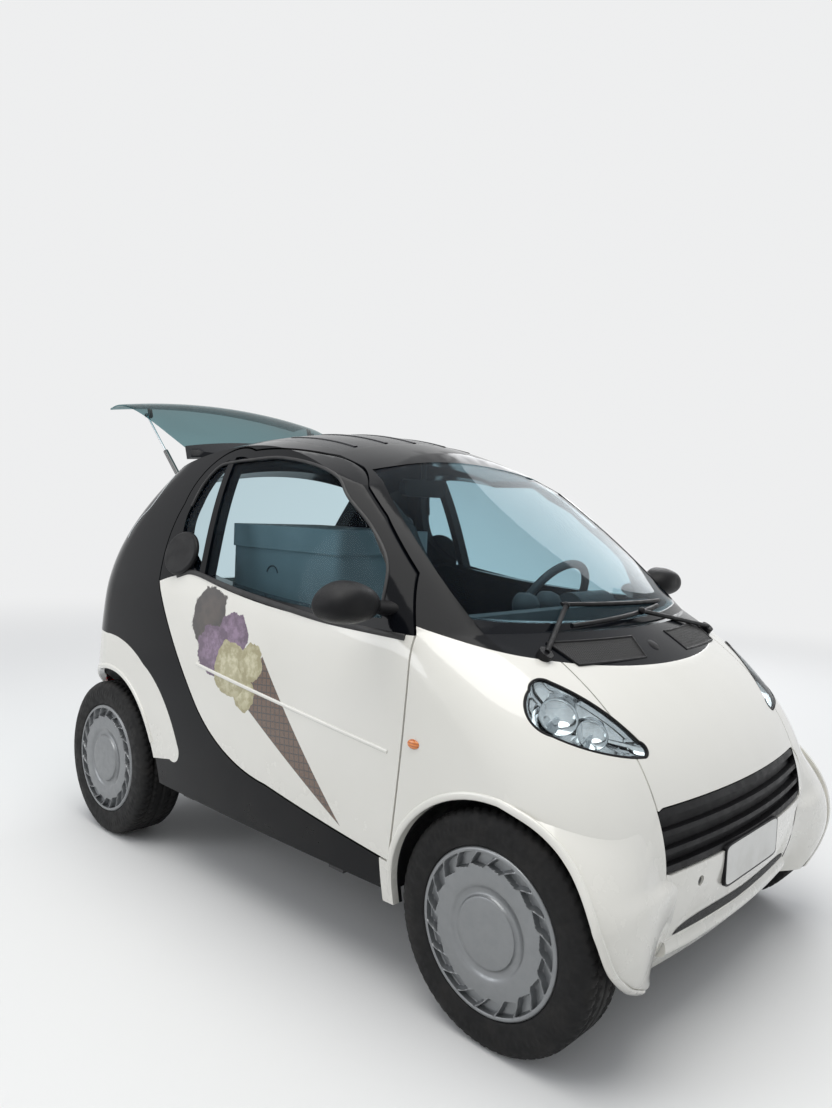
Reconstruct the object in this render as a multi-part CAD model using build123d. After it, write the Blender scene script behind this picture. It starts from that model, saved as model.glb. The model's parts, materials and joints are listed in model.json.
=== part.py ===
"""Two-seat micro car fitted out to sell ice cream, with its rear glass hatch stored open.

Millimetres. +X is forward, +Y the car's left, +Z up, and the ground is z = 0.
The shapes are drawn in the car's own frame, whose x = 0 is midway between the bumpers.
The last step moves every piece along X, so that the origin is under the middle of the
whole model with its open hatch.
"""
from build123d import *
from math import cos, hypot, radians, sin, sqrt
import os

# Overall sizes
ROOF_TOP = 1549.0            # height of the roof's crown
AXLE_FRONT_X = 910.0
AXLE_REAR_X = -902.0
TRACK_FRONT = 1272.0
TRACK_REAR = 1320.0

# Body plan outlines, one row for each height. Every outline is a front arc, two front
# corner arcs, two long side arcs, two rear corner arcs and a rear arc, all tangent.
# height z, nose x, tail x, half width, front arc radius, front corner, rear corner, rear arc
BODY_LEVELS = (
    (150, 1165, -1185, 690, 3000, 200, 230, 3000),
    (400, 1250, -1250, 740, 3200, 190, 260, 3000),
    (600, 1222, -1243, 748, 2600, 260, 270, 3000),
    (800, 1085, -1228, 738, 2200, 330, 260, 3000),
    (960, 890, -1215, 715, 1150, 230, 250, 3000),
    (1150, 613, -1135, 660, 1700, 170, 220, 2600),
    (1320, 366, -965, 600, 2300, 140, 180, 2400),
    (1450, 176, -815, 535, 2800, 120, 150, 2200),
    (1600, -40, -640, 440, 3000, 100, 120, 2200),
)
SIDE_ARC = 20000.0           # radius of the long side arcs in plan
SIDE_WIDEST_X = -200.0
ROOF_CROWN_X = -320.0
ROOF_LENGTH_ARC = 1450.0     # crown radius along the car
ROOF_WIDTH_ARC = 1800.0      # crown radius across the car

# Walls, counted inwards from the outer surface
PANEL_WALL = 22.0            # plastic body panels, roof panel and door skins
CARRIER_WALL = 12.0          # front module behind the nose panels
CELL_WALL = 80.0             # safety cell, sills and pillars
DOOR_WALL = 76.0             # a whole door
FRAME_WALL = 46.0            # the door's window frame
GLASS_WALL = 5.0
GLASS_SET = 6.0              # the side glass lies this far inside the skin
HATCH_WALL = 30.0
TAILGATE_WALL = 56.0
PANEL_GAP = 5.0              # open line between two panels
MOVING_GAP = 6.0             # open line around a door, the tailgate and the hatch
SEAT_GAP = 0.3               # a moving piece at rest against what carries it

# Floor
FLOOR_Z = 290.0
FLOOR_WALL = 14.0
LOAD_FLOOR_Z = 604.0
FIREWALL_X = 704.0
BULKHEAD_X = -450.0
COWL_Z = 862.0
SILL_BOTTOM_Z = 275.0

# Jacking pads under the sills
JACK_PAD_Y = (662.0, 708.0)
JACK_PAD_Z = (SILL_BOTTOM_Z - 12.0, SILL_BOTTOM_Z)

# Wheels
TYRE_FRONT_RADIUS = 285.0
TYRE_FRONT_WIDTH = 145.0
TYRE_REAR_RADIUS = 287.0
TYRE_REAR_WIDTH = 175.0
RIM_SEAT_RADIUS = 190.5
RIM_WALL = 6.0
COVER_RADIUS = 200.0
TYRE_SHOULDER = 26.0
ARCH_FRONT_RADIUS = 312.0
ARCH_REAR_RADIUS = 338.0
LINER_GAP = 2.0
LINER_WALL = 6.0
LINER_INNER_Y = 385.0
REAR_LINER_GAP = 8.0
SPINDLE_REACH = 50.0          # past the wheel's middle plane
COVER_PROUD = 0.0
AXLE_TUBE_RADIUS = 26.0
ARM_WALL = 14.0
BEAM_Z = (208.0, 250.0)
RAIL_START_X = 480.0
RAIL_Y = 300.0
RAIL_HEIGHT = 50.0
EXHAUST_X = -1090.0
EXHAUST_Z = 245.0
EXHAUST_RADIUS = 55.0
SPINDLE_RADIUS = 20.0
BEARING_GAP = 0.08

# Steering
KINGPIN_Y = 585.0
KINGPIN_RADIUS = 12.0
COLUMN_START = 60.0
COLUMN_RADIUS = 30.0
SHAFT_RADIUS = 11.0
SEAT_WIDTH = 440.0
KNUCKLE_HALF_HEIGHT = 62.0
KNUCKLE_HALF_WIDTH = 24.0
STEERING_RADIUS = 180.0
STEERING_RIM_RADIUS = 15.0
STEERING_CENTRE = (352.0, 320.0, 945.0)
STEERING_TILT = 28.0         # the wheel's axis, up from level

# Doors
HINGE_LOW_Z = (470.0, 520.0)
HINGE_HIGH_Z = (800.0, 850.0)
DOOR_INNER_Y = 470.0         # nothing of a door lies nearer to the middle
DOOR_TOE_X = (430.0, 600.0)   # the frame's foot by the hinge is cut back to swing over the sill
DOOR_TOE_Y = 728.0
DOOR_TOE_Z = 374.0

# Hatch, tailgate and struts
HATCH_HINGE = (-800.0, 1462.0)
HATCH_OPEN = 72.0            # degrees from closed to the stored pose
HATCH_HALF_WIDTH = 500.0
HATCH_HINGE_Y = (-150.0, 150.0)
HATCH_PIN_RADIUS = 5.0
HATCH_NOTCH_RADIUS = 24.0
HATCH_BOTTOM_Z = 935.0
HATCH_PANEL_Z = 1378.0       # the black panel ends here and the glass begins
TAILGATE_HALF_WIDTH = 500.0
TAILGATE_BOTTOM_Z = 628.0
STRUT_FOOT = (-874.0, 1309.0)
STRUT_Y = 446.0
STRUT_EYE_REACH = 430.0      # from the hatch's hinge to the rod's eye
STRUT_EYE_ANGLE = 22.0       # above level, hatch open
STRUT_TUBE_LENGTH = 232.0
STRUT_TUBE_RADIUS = 10.0
STRUT_ROD_RADIUS = 4.5
STRUT_ROD_LENGTH = 246.0
STRUT_EYE_RADIUS = 9.0
STRUT_PIN_RADIUS = 4.0

# Cooler chest, where a passenger seat would be
COOLER_X = (-430.0, 150.0)
COOLER_Y = (-530.0, -130.0)
COOLER_TOP_Z = 1200.0
COOLER_LID = 78.0
COOLER_WALL = 42.0
COOLER_EDGE = 34.0
COOLER_LID_LIP = 24.0
LID_PROUD = 5.0
LID_GAP = 3.0

# Door mirrors
MIRROR_CENTRE = (520.0, 830.0, 1032.0)
MIRROR_SIZE = (72.0, 96.0, 56.0)

# Towing eye socket, in the bumper
TOW_SOCKET = (1172.0, -282.0, 397.0)
TOW_LENGTH = 50.0
TOW_RADIUS = 9.0
TOW_WALL = 6.0

# Rear lamps, three round ones above each other at each corner
REAR_LAMP_Y = 600.0
REAR_LAMP_Z = (560.0, 690.0, 838.0)
REAR_LAMP_RADIUS = 44.0

# Door handle pods
HANDLE_CENTRE = (-508.0, 672.0, 1086.0)
HANDLE_HALF_SIZE = (96.0, 78.0)
HANDLE_LEAN = 17.0           # the door's skin leans in by this angle here
HANDLE_PROUD = 20.0

# Slits round each wheel cover
SLIT_COUNT = 20
SLIT_RADIUS = 171.0
SLIT_SIZE = (30.0, 14.0, 9.0)
SLIT_SLANT = 38.0

# Wipers: pivot, knee, and the blade's start, middle and end on the curved glass
WIPERS = (
    ((872, -470, 912), (784, -243, 1022), (774, -252, 1024), (808, 24, 1017), (784, 300, 1010)),
    ((872, 470, 912), (856, 60, 998), (836, -289, 974), (852, -25, 987), (811, 239, 1000)),
)
WIPER_RADIUS = 7.0

# Engine
ENGINE_X = (-1090.0, -760.0)
ENGINE_Y = (-330.0, 240.0)
ENGINE_Z = (325.0, LOAD_FLOOR_Z - FLOOR_WALL)

BELT_LEVEL = 4               # row of the table where the cabin starts
CROWN_REACH = 0.93

FAR = 2000.0                 # larger than the car, for cutting shapes


def meeting_centre(first, first_radius, second, second_radius, forward):
    """Centre of the circle that both reach: one of the two crossings of two circles."""
    dx = second[0] - first[0]
    dy = second[1] - first[1]
    apart = hypot(dx, dy)
    along = (first_radius ** 2 - second_radius ** 2 + apart ** 2) / (2 * apart)
    aside = sqrt(first_radius ** 2 - along ** 2)
    middle = (first[0] + along * dx / apart, first[1] + along * dy / apart)
    step = (aside * dy / apart, -aside * dx / apart)
    choices = [(middle[0] + s * step[0], middle[1] + s * step[1]) for s in (1, -1)]
    return max(choices) if forward else min(choices)


def touch_point(big_centre, big_radius, corner):
    """Where a corner circle touches the larger circle around it."""
    away = hypot(corner[0] - big_centre[0], corner[1] - big_centre[1])
    return (
        big_centre[0] + (corner[0] - big_centre[0]) / away * big_radius,
        big_centre[1] + (corner[1] - big_centre[1]) / away * big_radius,
    )


def plan_outline(level, inset):
    """Closed plan outline of the body at one height, all arcs tangent."""
    z, nose, tail, half, front_arc, front_corner, rear_corner, rear_arc = level
    nose, tail, half = nose - inset, tail + inset, half - inset
    front_arc, rear_arc, side_arc = front_arc - inset, rear_arc - inset, SIDE_ARC - inset
    front_corner = max(front_corner - inset, 20)
    rear_corner = max(rear_corner - inset, 20)
    front = (nose - front_arc, 0)
    rear = (tail + rear_arc, 0)
    side = (SIDE_WIDEST_X, half - side_arc)
    nose_corner = meeting_centre(front, front_arc - front_corner, side, side_arc - front_corner, True)
    tail_corner = meeting_centre(rear, rear_arc - rear_corner, side, side_arc - rear_corner, False)
    front_touch = touch_point(front, front_arc, nose_corner)
    side_touch = touch_point(side, side_arc, nose_corner)
    side_end = touch_point(side, side_arc, tail_corner)
    rear_touch = touch_point(rear, rear_arc, tail_corner)

    def middle(centre, radius, a, b):
        x = (a[0] + b[0]) / 2 - centre[0]
        y = (a[1] + b[1]) / 2 - centre[1]
        scale = radius / hypot(x, y)
        return (centre[0] + x * scale, centre[1] + y * scale)

    left = (
        (front_touch, middle(nose_corner, front_corner, front_touch, side_touch), side_touch),
        (side_touch, middle(side, side_arc, side_touch, side_end), side_end),
        (side_end, middle(tail_corner, rear_corner, side_end, rear_touch), rear_touch),
    )
    arcs = [((front_touch[0], -front_touch[1]), (nose, 0), front_touch)]
    arcs += left
    arcs += [(rear_touch, (tail, 0), (rear_touch[0], -rear_touch[1]))]
    arcs += [tuple((x, -y) for x, y in reversed(arc)) for arc in reversed(left)]
    return Wire([ThreePointArc(*[(x, y, z) for x, y in arc]).edge() for arc in arcs])


_bodies = {}


def block(x, y, z):
    """A box from its limits along each axis."""
    size = (x[1] - x[0], y[1] - y[0], z[1] - z[0])
    centre = ((x[0] + x[1]) / 2, (y[0] + y[1]) / 2, (z[0] + z[1]) / 2)
    return Pos(*centre) * Box(*size)


def crown(inset):
    """Everything under the crowned roof: an arc along the car, turned about a low axis."""
    axis_z = ROOF_TOP - ROOF_WIDTH_ARC
    top = ROOF_TOP - inset
    reach = ROOF_LENGTH_ARC * CROWN_REACH
    end_z = top - ROOF_LENGTH_ARC + sqrt(ROOF_LENGTH_ARC ** 2 - reach ** 2)
    left, right = ROOF_CROWN_X - reach, ROOF_CROWN_X + reach
    with BuildSketch(Plane.XZ) as profile:
        with BuildLine():
            ThreePointArc((left, end_z), (ROOF_CROWN_X, top), (right, end_z))
            Line((right, end_z), (right, axis_z))
            Line((right, axis_z), (left, axis_z))
            Line((left, axis_z), (left, end_z))
        make_face()
    return revolve(profile.sketch, Axis((0, 0, axis_z), (1, 0, 0)), 360)


def body(inset):
    """The whole car as one closed body, its surface moved inwards by the inset.

    The lower body and the cabin are two lofts that meet at the belt line.
    """
    if inset not in _bodies:
        outlines = [plan_outline(level, inset) for level in BODY_LEVELS]
        lower = Solid.make_loft(outlines[:BELT_LEVEL + 1])
        upper = Solid.make_loft(outlines[BELT_LEVEL:])
        _bodies[inset] = (Part() + upper & crown(inset)) + lower
    return _bodies[inset]


def wall(shape, outer, inner):
    """The part of a cutting shape that lies in the wall between two insets."""
    return (shape & body(outer)) - body(inner)


def outline(points, plane):
    """A face from points on a plane; a point marked "arc" is the middle of an arc."""
    plain = [tuple(p[:2]) for p in points]
    edges = []
    count = len(points)
    at = 0
    start = 0
    while points[start][2:] == ("arc",):
        start += 1
    order = [(start + k) % count for k in range(count + 1)]
    while at < count:
        here, after = order[at], order[at + 1]
        if points[after][2:] == ("arc",):
            edges.append(ThreePointArc(plain[here], plain[after], plain[order[at + 2]]).edge())
            at += 2
        else:
            edges.append(Line(plain[here], plain[after]).edge())
            at += 1
    face = Face(Wire(edges))
    return plane * face


def slab(points, y):
    """Side-view outline (x, z) made into a solid between two values of y."""
    low, high = min(y), max(y)
    face = outline(points, Plane((0, high, 0), x_dir=(1, 0, 0), z_dir=(0, -1, 0)))
    return extrude(face, high - low, dir=(0, -1, 0))


def front_slab(points, x):
    """Front-view outline (y, z) made into a solid between two values of x."""
    low, high = min(x), max(x)
    face = outline(points, Plane((low, 0, 0), x_dir=(0, 1, 0), z_dir=(1, 0, 0)))
    return extrude(face, high - low, dir=(1, 0, 0))


def rod(start, end, radius, bore=0.0):
    """A round bar, or a tube, between two points."""
    a, b = Vector(*start), Vector(*end)
    plane = Plane(origin=start, z_dir=(b - a))
    shape = extrude(plane * Circle(radius), (b - a).length)
    if bore:
        shape = shape - extrude(plane * Circle(bore), (b - a).length)
    return shape


def across(x, z, y, radius):
    """A round bar along Y."""
    return rod((x, min(y), z), (x, max(y), z), radius)


def turned(profile, x, y, z):
    """Turn a profile of (radius, width along +Y) points about a wheel's axis."""
    plane = Plane((x, y, z), x_dir=(1, 0, 0), z_dir=(0, 0, 1))
    face = outline(profile, plane)
    return revolve(face, Axis((x, y, z), (0, 1, 0)), 360)


def both(shape):
    """A shape and its mirror image on the car's other side."""
    return Part() + shape + mirror(shape, Plane.XZ)


def other_side(shape):
    return mirror(shape, Plane.XZ)


def above(line, z_far=FAR):
    """Everything above a side-view line given by two points."""
    (x1, z1), (x2, z2) = line
    slope = (z2 - z1) / (x2 - x1)
    left, right = -FAR, FAR
    return slab((
        (left, z1 + slope * (left - x1)), (right, z1 + slope * (right - x1)),
        (right, z_far), (left, z_far),
    ), (-FAR / 2, FAR / 2))


# Lines that part the panels, in side view (x, z)
SCUTTLE_LINE = ((660.0, 962.0), (1020.0, 870.0))      # black above, white below
GLASS_LINE = ((718.0, 992.0), (890.0, 965.0))         # windscreen above, scuttle below
DOOR_OUTLINE = (
    (590, 362), (624, 600, "arc"), (622, 950),
    (545, 1100), (372, 1250), (255, 1340), (150, 1402, "arc"), (20, 1436), (-140, 1453, "arc"),
    (-300, 1450), (-515, 1408, "arc"), (-596, 1260), (-630, 1120, "arc"), (-612, 984),
    (-462, 800, "arc"), (-290, 608), (-130, 494, "arc"), (86, 438), (330, 398, "arc"),
)
DOOR_WINDOW = (
    (508, 982), (474, 1112), (373, 1214), (248, 1300), (160, 1366, "arc"), (20, 1404),
    (-150, 1424, "arc"), (-300, 1418), (-470, 1400, "arc"), (-548, 1254), (-556, 1200, "arc"), (-528, 1120),
    (-416, 1046, "arc"), (-300, 1020), (105, 984, "arc"),
)
DOOR_SKIN = (
    (590, 362), (624, 600, "arc"), (622, 950), (286, 952), (-100, 978, "arc"), (-416, 1028),
    (-520, 1010, "arc"), (-612, 984), (-462, 800, "arc"), (-290, 608), (-130, 494, "arc"), (86, 438),
    (330, 398, "arc"),
)
REAR_WING = (
    (-459, 384), (-402, 400, "arc"), (-404, 447), (-500, 590, "arc"), (-647, 684), (-790, 742, "arc"),
    (-944, 757), (-1400, 770), (-1400, 250), (-1150, 250),
)


def side_cut(points, side, grow=0.0, inner_y=300.0):
    """A side-view outline as a cutting shape on one side of the car, from an inner y outwards."""
    face = outline(points, Plane((0, inner_y, 0), x_dir=(1, 0, 0), z_dir=(0, -1, 0)))
    if grow:
        face = offset(face, grow)
    shape = extrude(face, 900.0 - inner_y, dir=(0, 1, 0))
    return shape if side > 0 else other_side(shape)


def wheel_well(x, z, radius, inner_y):
    """Both wheel arches of an axle, open at the bottom."""
    well = across(x, z, (inner_y, 900), radius)
    well = well + block((x - radius, x + radius), (inner_y, 900), (-100, z))
    return both(well)


ZONE_FRONT = block((300, FAR), (-FAR, FAR), (0, FAR))
FRONT_WELLS = wheel_well(AXLE_FRONT_X, TYRE_FRONT_RADIUS, ARCH_FRONT_RADIUS, LINER_INNER_Y)
REAR_WELLS = wheel_well(AXLE_REAR_X, TYRE_REAR_RADIUS, ARCH_REAR_RADIUS, LINER_INNER_Y)
FRONT_CLEAR = wheel_well(AXLE_FRONT_X, TYRE_FRONT_RADIUS, ARCH_FRONT_RADIUS + LINER_GAP + LINER_WALL, LINER_INNER_Y - 8)
REAR_CLEAR = wheel_well(AXLE_REAR_X, TYRE_REAR_RADIUS, ARCH_REAR_RADIUS + REAR_LINER_GAP + LINER_WALL, LINER_INNER_Y - 8)
WHITE_NOSE = ZONE_FRONT - above(SCUTTLE_LINE)
DOORWAY = both(side_cut(DOOR_OUTLINE, 1, MOVING_GAP, DOOR_INNER_Y - MOVING_GAP))
SEAM_Y = 432.0               # the seam between bonnet and wings
GRILLE_Z = (448.0, 590.0)
GRILLE_HALF_WIDTH = 470.0
GRILLE_END = 62.0
NOSE_BOTTOM_Z = 172.0
WING_BOTTOM_Z = 238.0

parts = {}


def nose_zone():
    """Below the scuttle line, ahead of the doors."""
    doors = both(side_cut(DOOR_OUTLINE, 1, MOVING_GAP, 0.0)) + block((-FAR, 560), (-FAR, FAR), (0, FAR))
    return WHITE_NOSE - doors


def rounded_bar(z, half_width, end, x):
    """A bar across the car whose ends are rounded in front view."""
    low, high = z
    points = (
        (-half_width + end, low), (half_width - end, low), (half_width, (low + high) / 2, "arc"),
        (half_width - end, high), (-half_width + end, high), (-half_width, (low + high) / 2, "arc"),
    )
    return front_slab(points, x)


def headlamp_cut(side, grow=0.0):
    """The lamp's teardrop, seen along a slanting line from ahead and above."""
    plane = Plane(LAMP_CENTRE, x_dir=LAMP_LENGTH_DIR, z_dir=LAMP_NORMAL)
    face = outline(LAMP_OUTLINE, plane)
    if grow:
        face = offset(face, grow)
    shape = extrude(face, 200, both=True)
    return shape if side > 0 else other_side(shape)


LAMP_CENTRE = (1010.0, 500.0, 765.0)
LAMP_LENGTH_DIR = (0.80, -0.50, -0.33)
LAMP_NORMAL = (0.62, 0.46, 0.64)
LAMP_OUTLINE = (
    (-150, -10), (-128, 62, "arc"), (-60, 82), (60, 62, "arc"), (165, 0), (168, -32, "arc"), (146, -36),
    (0, -62, "arc"), (-112, -62), (-146, -46, "arc"),
)

grille_bar = rounded_bar(GRILLE_Z, GRILLE_HALF_WIDTH, GRILLE_END, (900, FAR))
lamps = headlamp_cut(1) + headlamp_cut(-1)
lamp_holes = headlamp_cut(1, 3) + headlamp_cut(-1, 3)

nose = nose_zone()
nose_panels = wall(nose, 0, PANEL_WALL) - FRONT_WELLS
nose_panels = nose_panels - rounded_bar((GRILLE_Z[0] - PANEL_GAP, GRILLE_Z[1] + PANEL_GAP), GRILLE_HALF_WIDTH + PANEL_GAP, GRILLE_END, (900, FAR))
side_zone = both(block((500, FAR), (SEAM_Y + PANEL_GAP, FAR), (WING_BOTTOM_Z, FAR)))
parts["front_wings"] = nose_panels & side_zone - lamp_holes
parts["service_cover"] = nose_panels & block((500, FAR), (-SEAM_Y, SEAM_Y), (GRILLE_Z[1], FAR)) - lamp_holes
parts["front_bumper"] = nose_panels & block((500, FAR), (-SEAM_Y, SEAM_Y), (NOSE_BOTTOM_Z, GRILLE_Z[0]))
tow_x, tow_y, tow_z = TOW_SOCKET
socket = rod((tow_x, tow_y, tow_z), (tow_x + TOW_LENGTH, tow_y, tow_z), TOW_RADIUS + TOW_WALL) & body(4)
socket_hole = rod((tow_x, tow_y, tow_z), (tow_x + 200, tow_y, tow_z), TOW_RADIUS)
socket_mouth = rod((tow_x + TOW_LENGTH, tow_y, tow_z), (tow_x + 200, tow_y, tow_z), TOW_RADIUS + 4)
parts["front_bumper"] = parts["front_bumper"] + socket - socket_hole - socket_mouth
carrier = wall(nose, PANEL_WALL, PANEL_WALL + CARRIER_WALL) - FRONT_WELLS
carrier = carrier & block((500, FAR), (-FAR, FAR), (WING_BOTTOM_Z, FAR))
socket_pass = rod((tow_x - 10, tow_y, tow_z), (tow_x + 200, tow_y, tow_z), TOW_RADIUS + TOW_WALL)
parts["front_carrier"] = carrier - lamps - socket_pass
GRILLE_SLOTS = ((464, 490), (502, 531), (543, 572))
grille_slots = [rounded_bar(slot, GRILLE_HALF_WIDTH - 34, 13, (900, FAR)) for slot in GRILLE_SLOTS]
parts["front_grille"] = wall(grille_bar, 4, PANEL_WALL) - grille_slots
parts["headlamps"] = wall(lamps & nose, 0, PANEL_WALL + CARRIER_WALL)

# Black cell: the whole wall, less the openings and less the outer layer under each white panel
windscreen_outline = (
    (-560, 900), (560, 900), (560, 1060), (540, 1190, "arc"), (455, 1392), (0, 1440, "arc"), (-455, 1392),
    (-540, 1190, "arc"), (-560, 1060),
)
windscreen_cut = front_slab(windscreen_outline, (-60, FAR)) & above(GLASS_LINE)
scuttle_cut = front_slab(((-556, 800), (556, 800), (556, 1060), (-556, 1060)), (560, FAR)) & above(SCUTTLE_LINE) - above(GLASS_LINE)

rear_wing_cut = both(side_cut(REAR_WING, 1, 0, TAILGATE_HALF_WIDTH + PANEL_GAP))
rear_bumper_cut = block((-FAR, -1000), (-TAILGATE_HALF_WIDTH, TAILGATE_HALF_WIDTH), (280, TAILGATE_BOTTOM_Z - MOVING_GAP))
tailgate_zone = block((-FAR, -1000), (-TAILGATE_HALF_WIDTH, TAILGATE_HALF_WIDTH), (TAILGATE_BOTTOM_Z, HATCH_BOTTOM_Z - MOVING_GAP))
tailgate_hole = block(
    (-FAR, -1000), (-TAILGATE_HALF_WIDTH - MOVING_GAP, TAILGATE_HALF_WIDTH + MOVING_GAP),
    (TAILGATE_BOTTOM_Z - MOVING_GAP, HATCH_BOTTOM_Z + 1),
)


def hatch_outline(grow):
    half = HATCH_HALF_WIDTH + grow
    return (
        (-half, HATCH_BOTTOM_Z - grow), (half, HATCH_BOTTOM_Z - grow), (half - 8, 1180, "arc"),
        (half - 62, 1400 + grow), (0, 1462 + grow, "arc"), (-half + 62, 1400 + grow), (-half + 8, 1180, "arc"),
    )


hatch_cut = front_slab(hatch_outline(0), (-FAR, HATCH_HINGE[0]))
hatch_hole = front_slab(hatch_outline(MOVING_GAP), (-FAR, HATCH_HINGE[0] + MOVING_GAP))

ROOF_HALF_WIDTH = 440.0
ROOF_X = (-790.0, 20.0)
roof_cut = block(ROOF_X, (-ROOF_HALF_WIDTH, ROOF_HALF_WIDTH), (1300, FAR))
roof_hole = block((ROOF_X[0] + 70, ROOF_X[1] - 50), (-ROOF_HALF_WIDTH + 40, ROOF_HALF_WIDTH - 40), (1300, FAR))
hinge_blocks = [
    block((HATCH_HINGE[0] - 10, ROOF_X[0]), (y - 10, y + 10), (HATCH_HINGE[1] - 20, HATCH_HINGE[1] + 9))
    for y in HATCH_HINGE_Y
]
hinge_recesses = [
    block((HATCH_HINGE[0] - 60, ROOF_X[0]), (y - 52, y + 52), (1436, 1490)) for y in HATCH_HINGE_Y
]
rear_lamp_cuts = [
    rod((-1400, side * REAR_LAMP_Y, z), (-1000, side * REAR_LAMP_Y, z), REAR_LAMP_RADIUS)
    for z in REAR_LAMP_Z for side in (1, -1)
]
parts["roof_panel"] = wall(roof_cut, 0, PANEL_WALL)

cell_zone = block((-FAR, 900), (-FAR, FAR), (SILL_BOTTOM_Z, FAR))
pillar_zone = block((560, FIREWALL_X - FLOOR_WALL), (-FAR, FAR), (SILL_BOTTOM_Z, FAR)) & body(PANEL_WALL + CARRIER_WALL)
white_layer = (rear_wing_cut + rear_bumper_cut + roof_cut) - body(PANEL_WALL)
cell = wall(cell_zone, 0, CELL_WALL) - [
    DOORWAY, windscreen_cut, scuttle_cut, hatch_hole, tailgate_hole, roof_hole, white_layer,
    nose - pillar_zone, FRONT_CLEAR, REAR_CLEAR,
] - hinge_recesses - rear_lamp_cuts
parts["safety_cell"] = cell

# Hinge pads just ahead of each door, rests under the tailgate and pins for the struts
hinge_zone = both(block((560, 700), (300, FAR), HINGE_LOW_Z) + block((560, 700), (300, FAR), HINGE_HIGH_Z))
hinge_zone = hinge_zone & DOORWAY - both(side_cut(DOOR_OUTLINE, 1, SEAT_GAP, 290))
hinge_pads = wall(hinge_zone, PANEL_WALL + CARRIER_WALL + 2, DOOR_WALL - 8)
gate_pads = both(block((-1222, -1182), (330, 370), (TAILGATE_BOTTOM_Z - MOVING_GAP, TAILGATE_BOTTOM_Z - SEAT_GAP)))
foot_pins = both(across(STRUT_FOOT[0], STRUT_FOOT[1], (STRUT_Y - 10, STRUT_Y + 60), STRUT_PIN_RADIUS)) - cell
jack_pads = both(block((350, 410), JACK_PAD_Y, JACK_PAD_Z) + block((-410, -350), JACK_PAD_Y, JACK_PAD_Z))
parts["body_fittings"] = Part() + hinge_pads + gate_pads + foot_pins + jack_pads
parts["windscreen"] = wall(windscreen_cut, 3, 3 + GLASS_WALL)
parts["scuttle"] = wall(scuttle_cut, 0, PANEL_WALL)
parts["rear_wings"] = wall(rear_wing_cut, 0, PANEL_WALL) - [REAR_WELLS] - rear_lamp_cuts
lamp_blocks = Part() + rear_lamp_cuts
parts["rear_lamps"] = wall(lamp_blocks, 0, PANEL_WALL)
parts["rear_bumper"] = wall(rear_bumper_cut, 0, PANEL_WALL)

# Doors
door_body = wall(side_cut(DOOR_OUTLINE, 1, 0, DOOR_INNER_Y), 0, DOOR_WALL)
skin = wall(side_cut(DOOR_SKIN, 1, 0, DOOR_INNER_Y), 0, PANEL_WALL)
window_hole = side_cut(DOOR_WINDOW, 1, 0, 300)
upper = side_cut(DOOR_OUTLINE, 1, 0, 300) - side_cut(DOOR_SKIN, 1, 0, 300)
slim = body(FRAME_WALL) & upper
toe_relief = block(DOOR_TOE_X, (300, DOOR_TOE_Y), (300, DOOR_TOE_Z))
frame = door_body - [window_hole, skin, slim, toe_relief]
glass = wall(window_hole & side_cut(DOOR_OUTLINE, 1, -0.2, 300), GLASS_SET, GLASS_SET + GLASS_WALL)
DIVIDER = ((-430, 1440), (-398, 1440), (-340, 1000), (-372, 1000))
divider = wall(side_cut(DIVIDER, 1, 0, 300) & window_hole, 0, FRAME_WALL)
frame = frame + divider
glass = glass - divider
for side, name in ((1, "left"), (-1, "right")):
    place = (lambda shape: shape) if side > 0 else other_side
    parts["door_skin_" + name] = place(skin)
    parts["door_frame_" + name] = place(frame)
    parts["door_glass_" + name] = place(glass)

# Hatch and tailgate
parts["tailgate"] = wall(tailgate_zone, 0, TAILGATE_WALL)
opened = Pos(HATCH_HINGE[0], 0, HATCH_HINGE[1]) * Rot(0, HATCH_OPEN, 0) * Pos(-HATCH_HINGE[0], 0, -HATCH_HINGE[1])
below_panel = block((-FAR, 0), (-FAR, FAR), (0, HATCH_PANEL_Z))
hatch_panel = wall(hatch_cut - below_panel, 0, HATCH_WALL)
for y, bracket in zip(HATCH_HINGE_Y, hinge_blocks):
    notch = across(HATCH_HINGE[0], HATCH_HINGE[1], (y - 15, y + 15), HATCH_NOTCH_RADIUS)
    pin = across(HATCH_HINGE[0], HATCH_HINGE[1], (y - 45, y + 45), HATCH_PIN_RADIUS)
    bracket = bracket - across(HATCH_HINGE[0], HATCH_HINGE[1], (y - 50, y + 50), HATCH_PIN_RADIUS + BEARING_GAP)
    hatch_panel = hatch_panel - notch + pin
    parts["roof_panel"] = parts["roof_panel"] + bracket
parts["hatch_panel"] = opened * hatch_panel
parts["hatch_glass"] = opened * wall(hatch_cut & below_panel, 0, GLASS_WALL + 1)
closed_angle = radians(STRUT_EYE_ANGLE - HATCH_OPEN)
closed_eye = (HATCH_HINGE[0] - STRUT_EYE_REACH * cos(closed_angle), HATCH_HINGE[1] + STRUT_EYE_REACH * sin(closed_angle))
bracket = block((closed_eye[0] - 100, closed_eye[0] + 8), (STRUT_Y - 22, STRUT_Y - 10), (closed_eye[1] - 8, closed_eye[1] + 8))
bracket = bracket & body(GLASS_WALL + 1)
bracket = bracket + across(closed_eye[0], closed_eye[1], (STRUT_Y - 15, STRUT_Y + 9), STRUT_PIN_RADIUS)
parts["hatch_brackets"] = opened * both(bracket)

# Wheel liners
def liner(x, z, radius, inset):
    ring = across(x, z, (LINER_INNER_Y, 900), radius + LINER_WALL) - across(x, z, (LINER_INNER_Y, 900), radius)
    inner = across(x, z, (LINER_INNER_Y - LINER_WALL, LINER_INNER_Y), radius + LINER_WALL)
    ring = ring & block((-FAR, FAR), (0, FAR), (z, FAR))
    inner = inner & block((-FAR, FAR), (0, FAR), (z + 90, FAR))
    return both((ring + inner) & body(inset))


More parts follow.
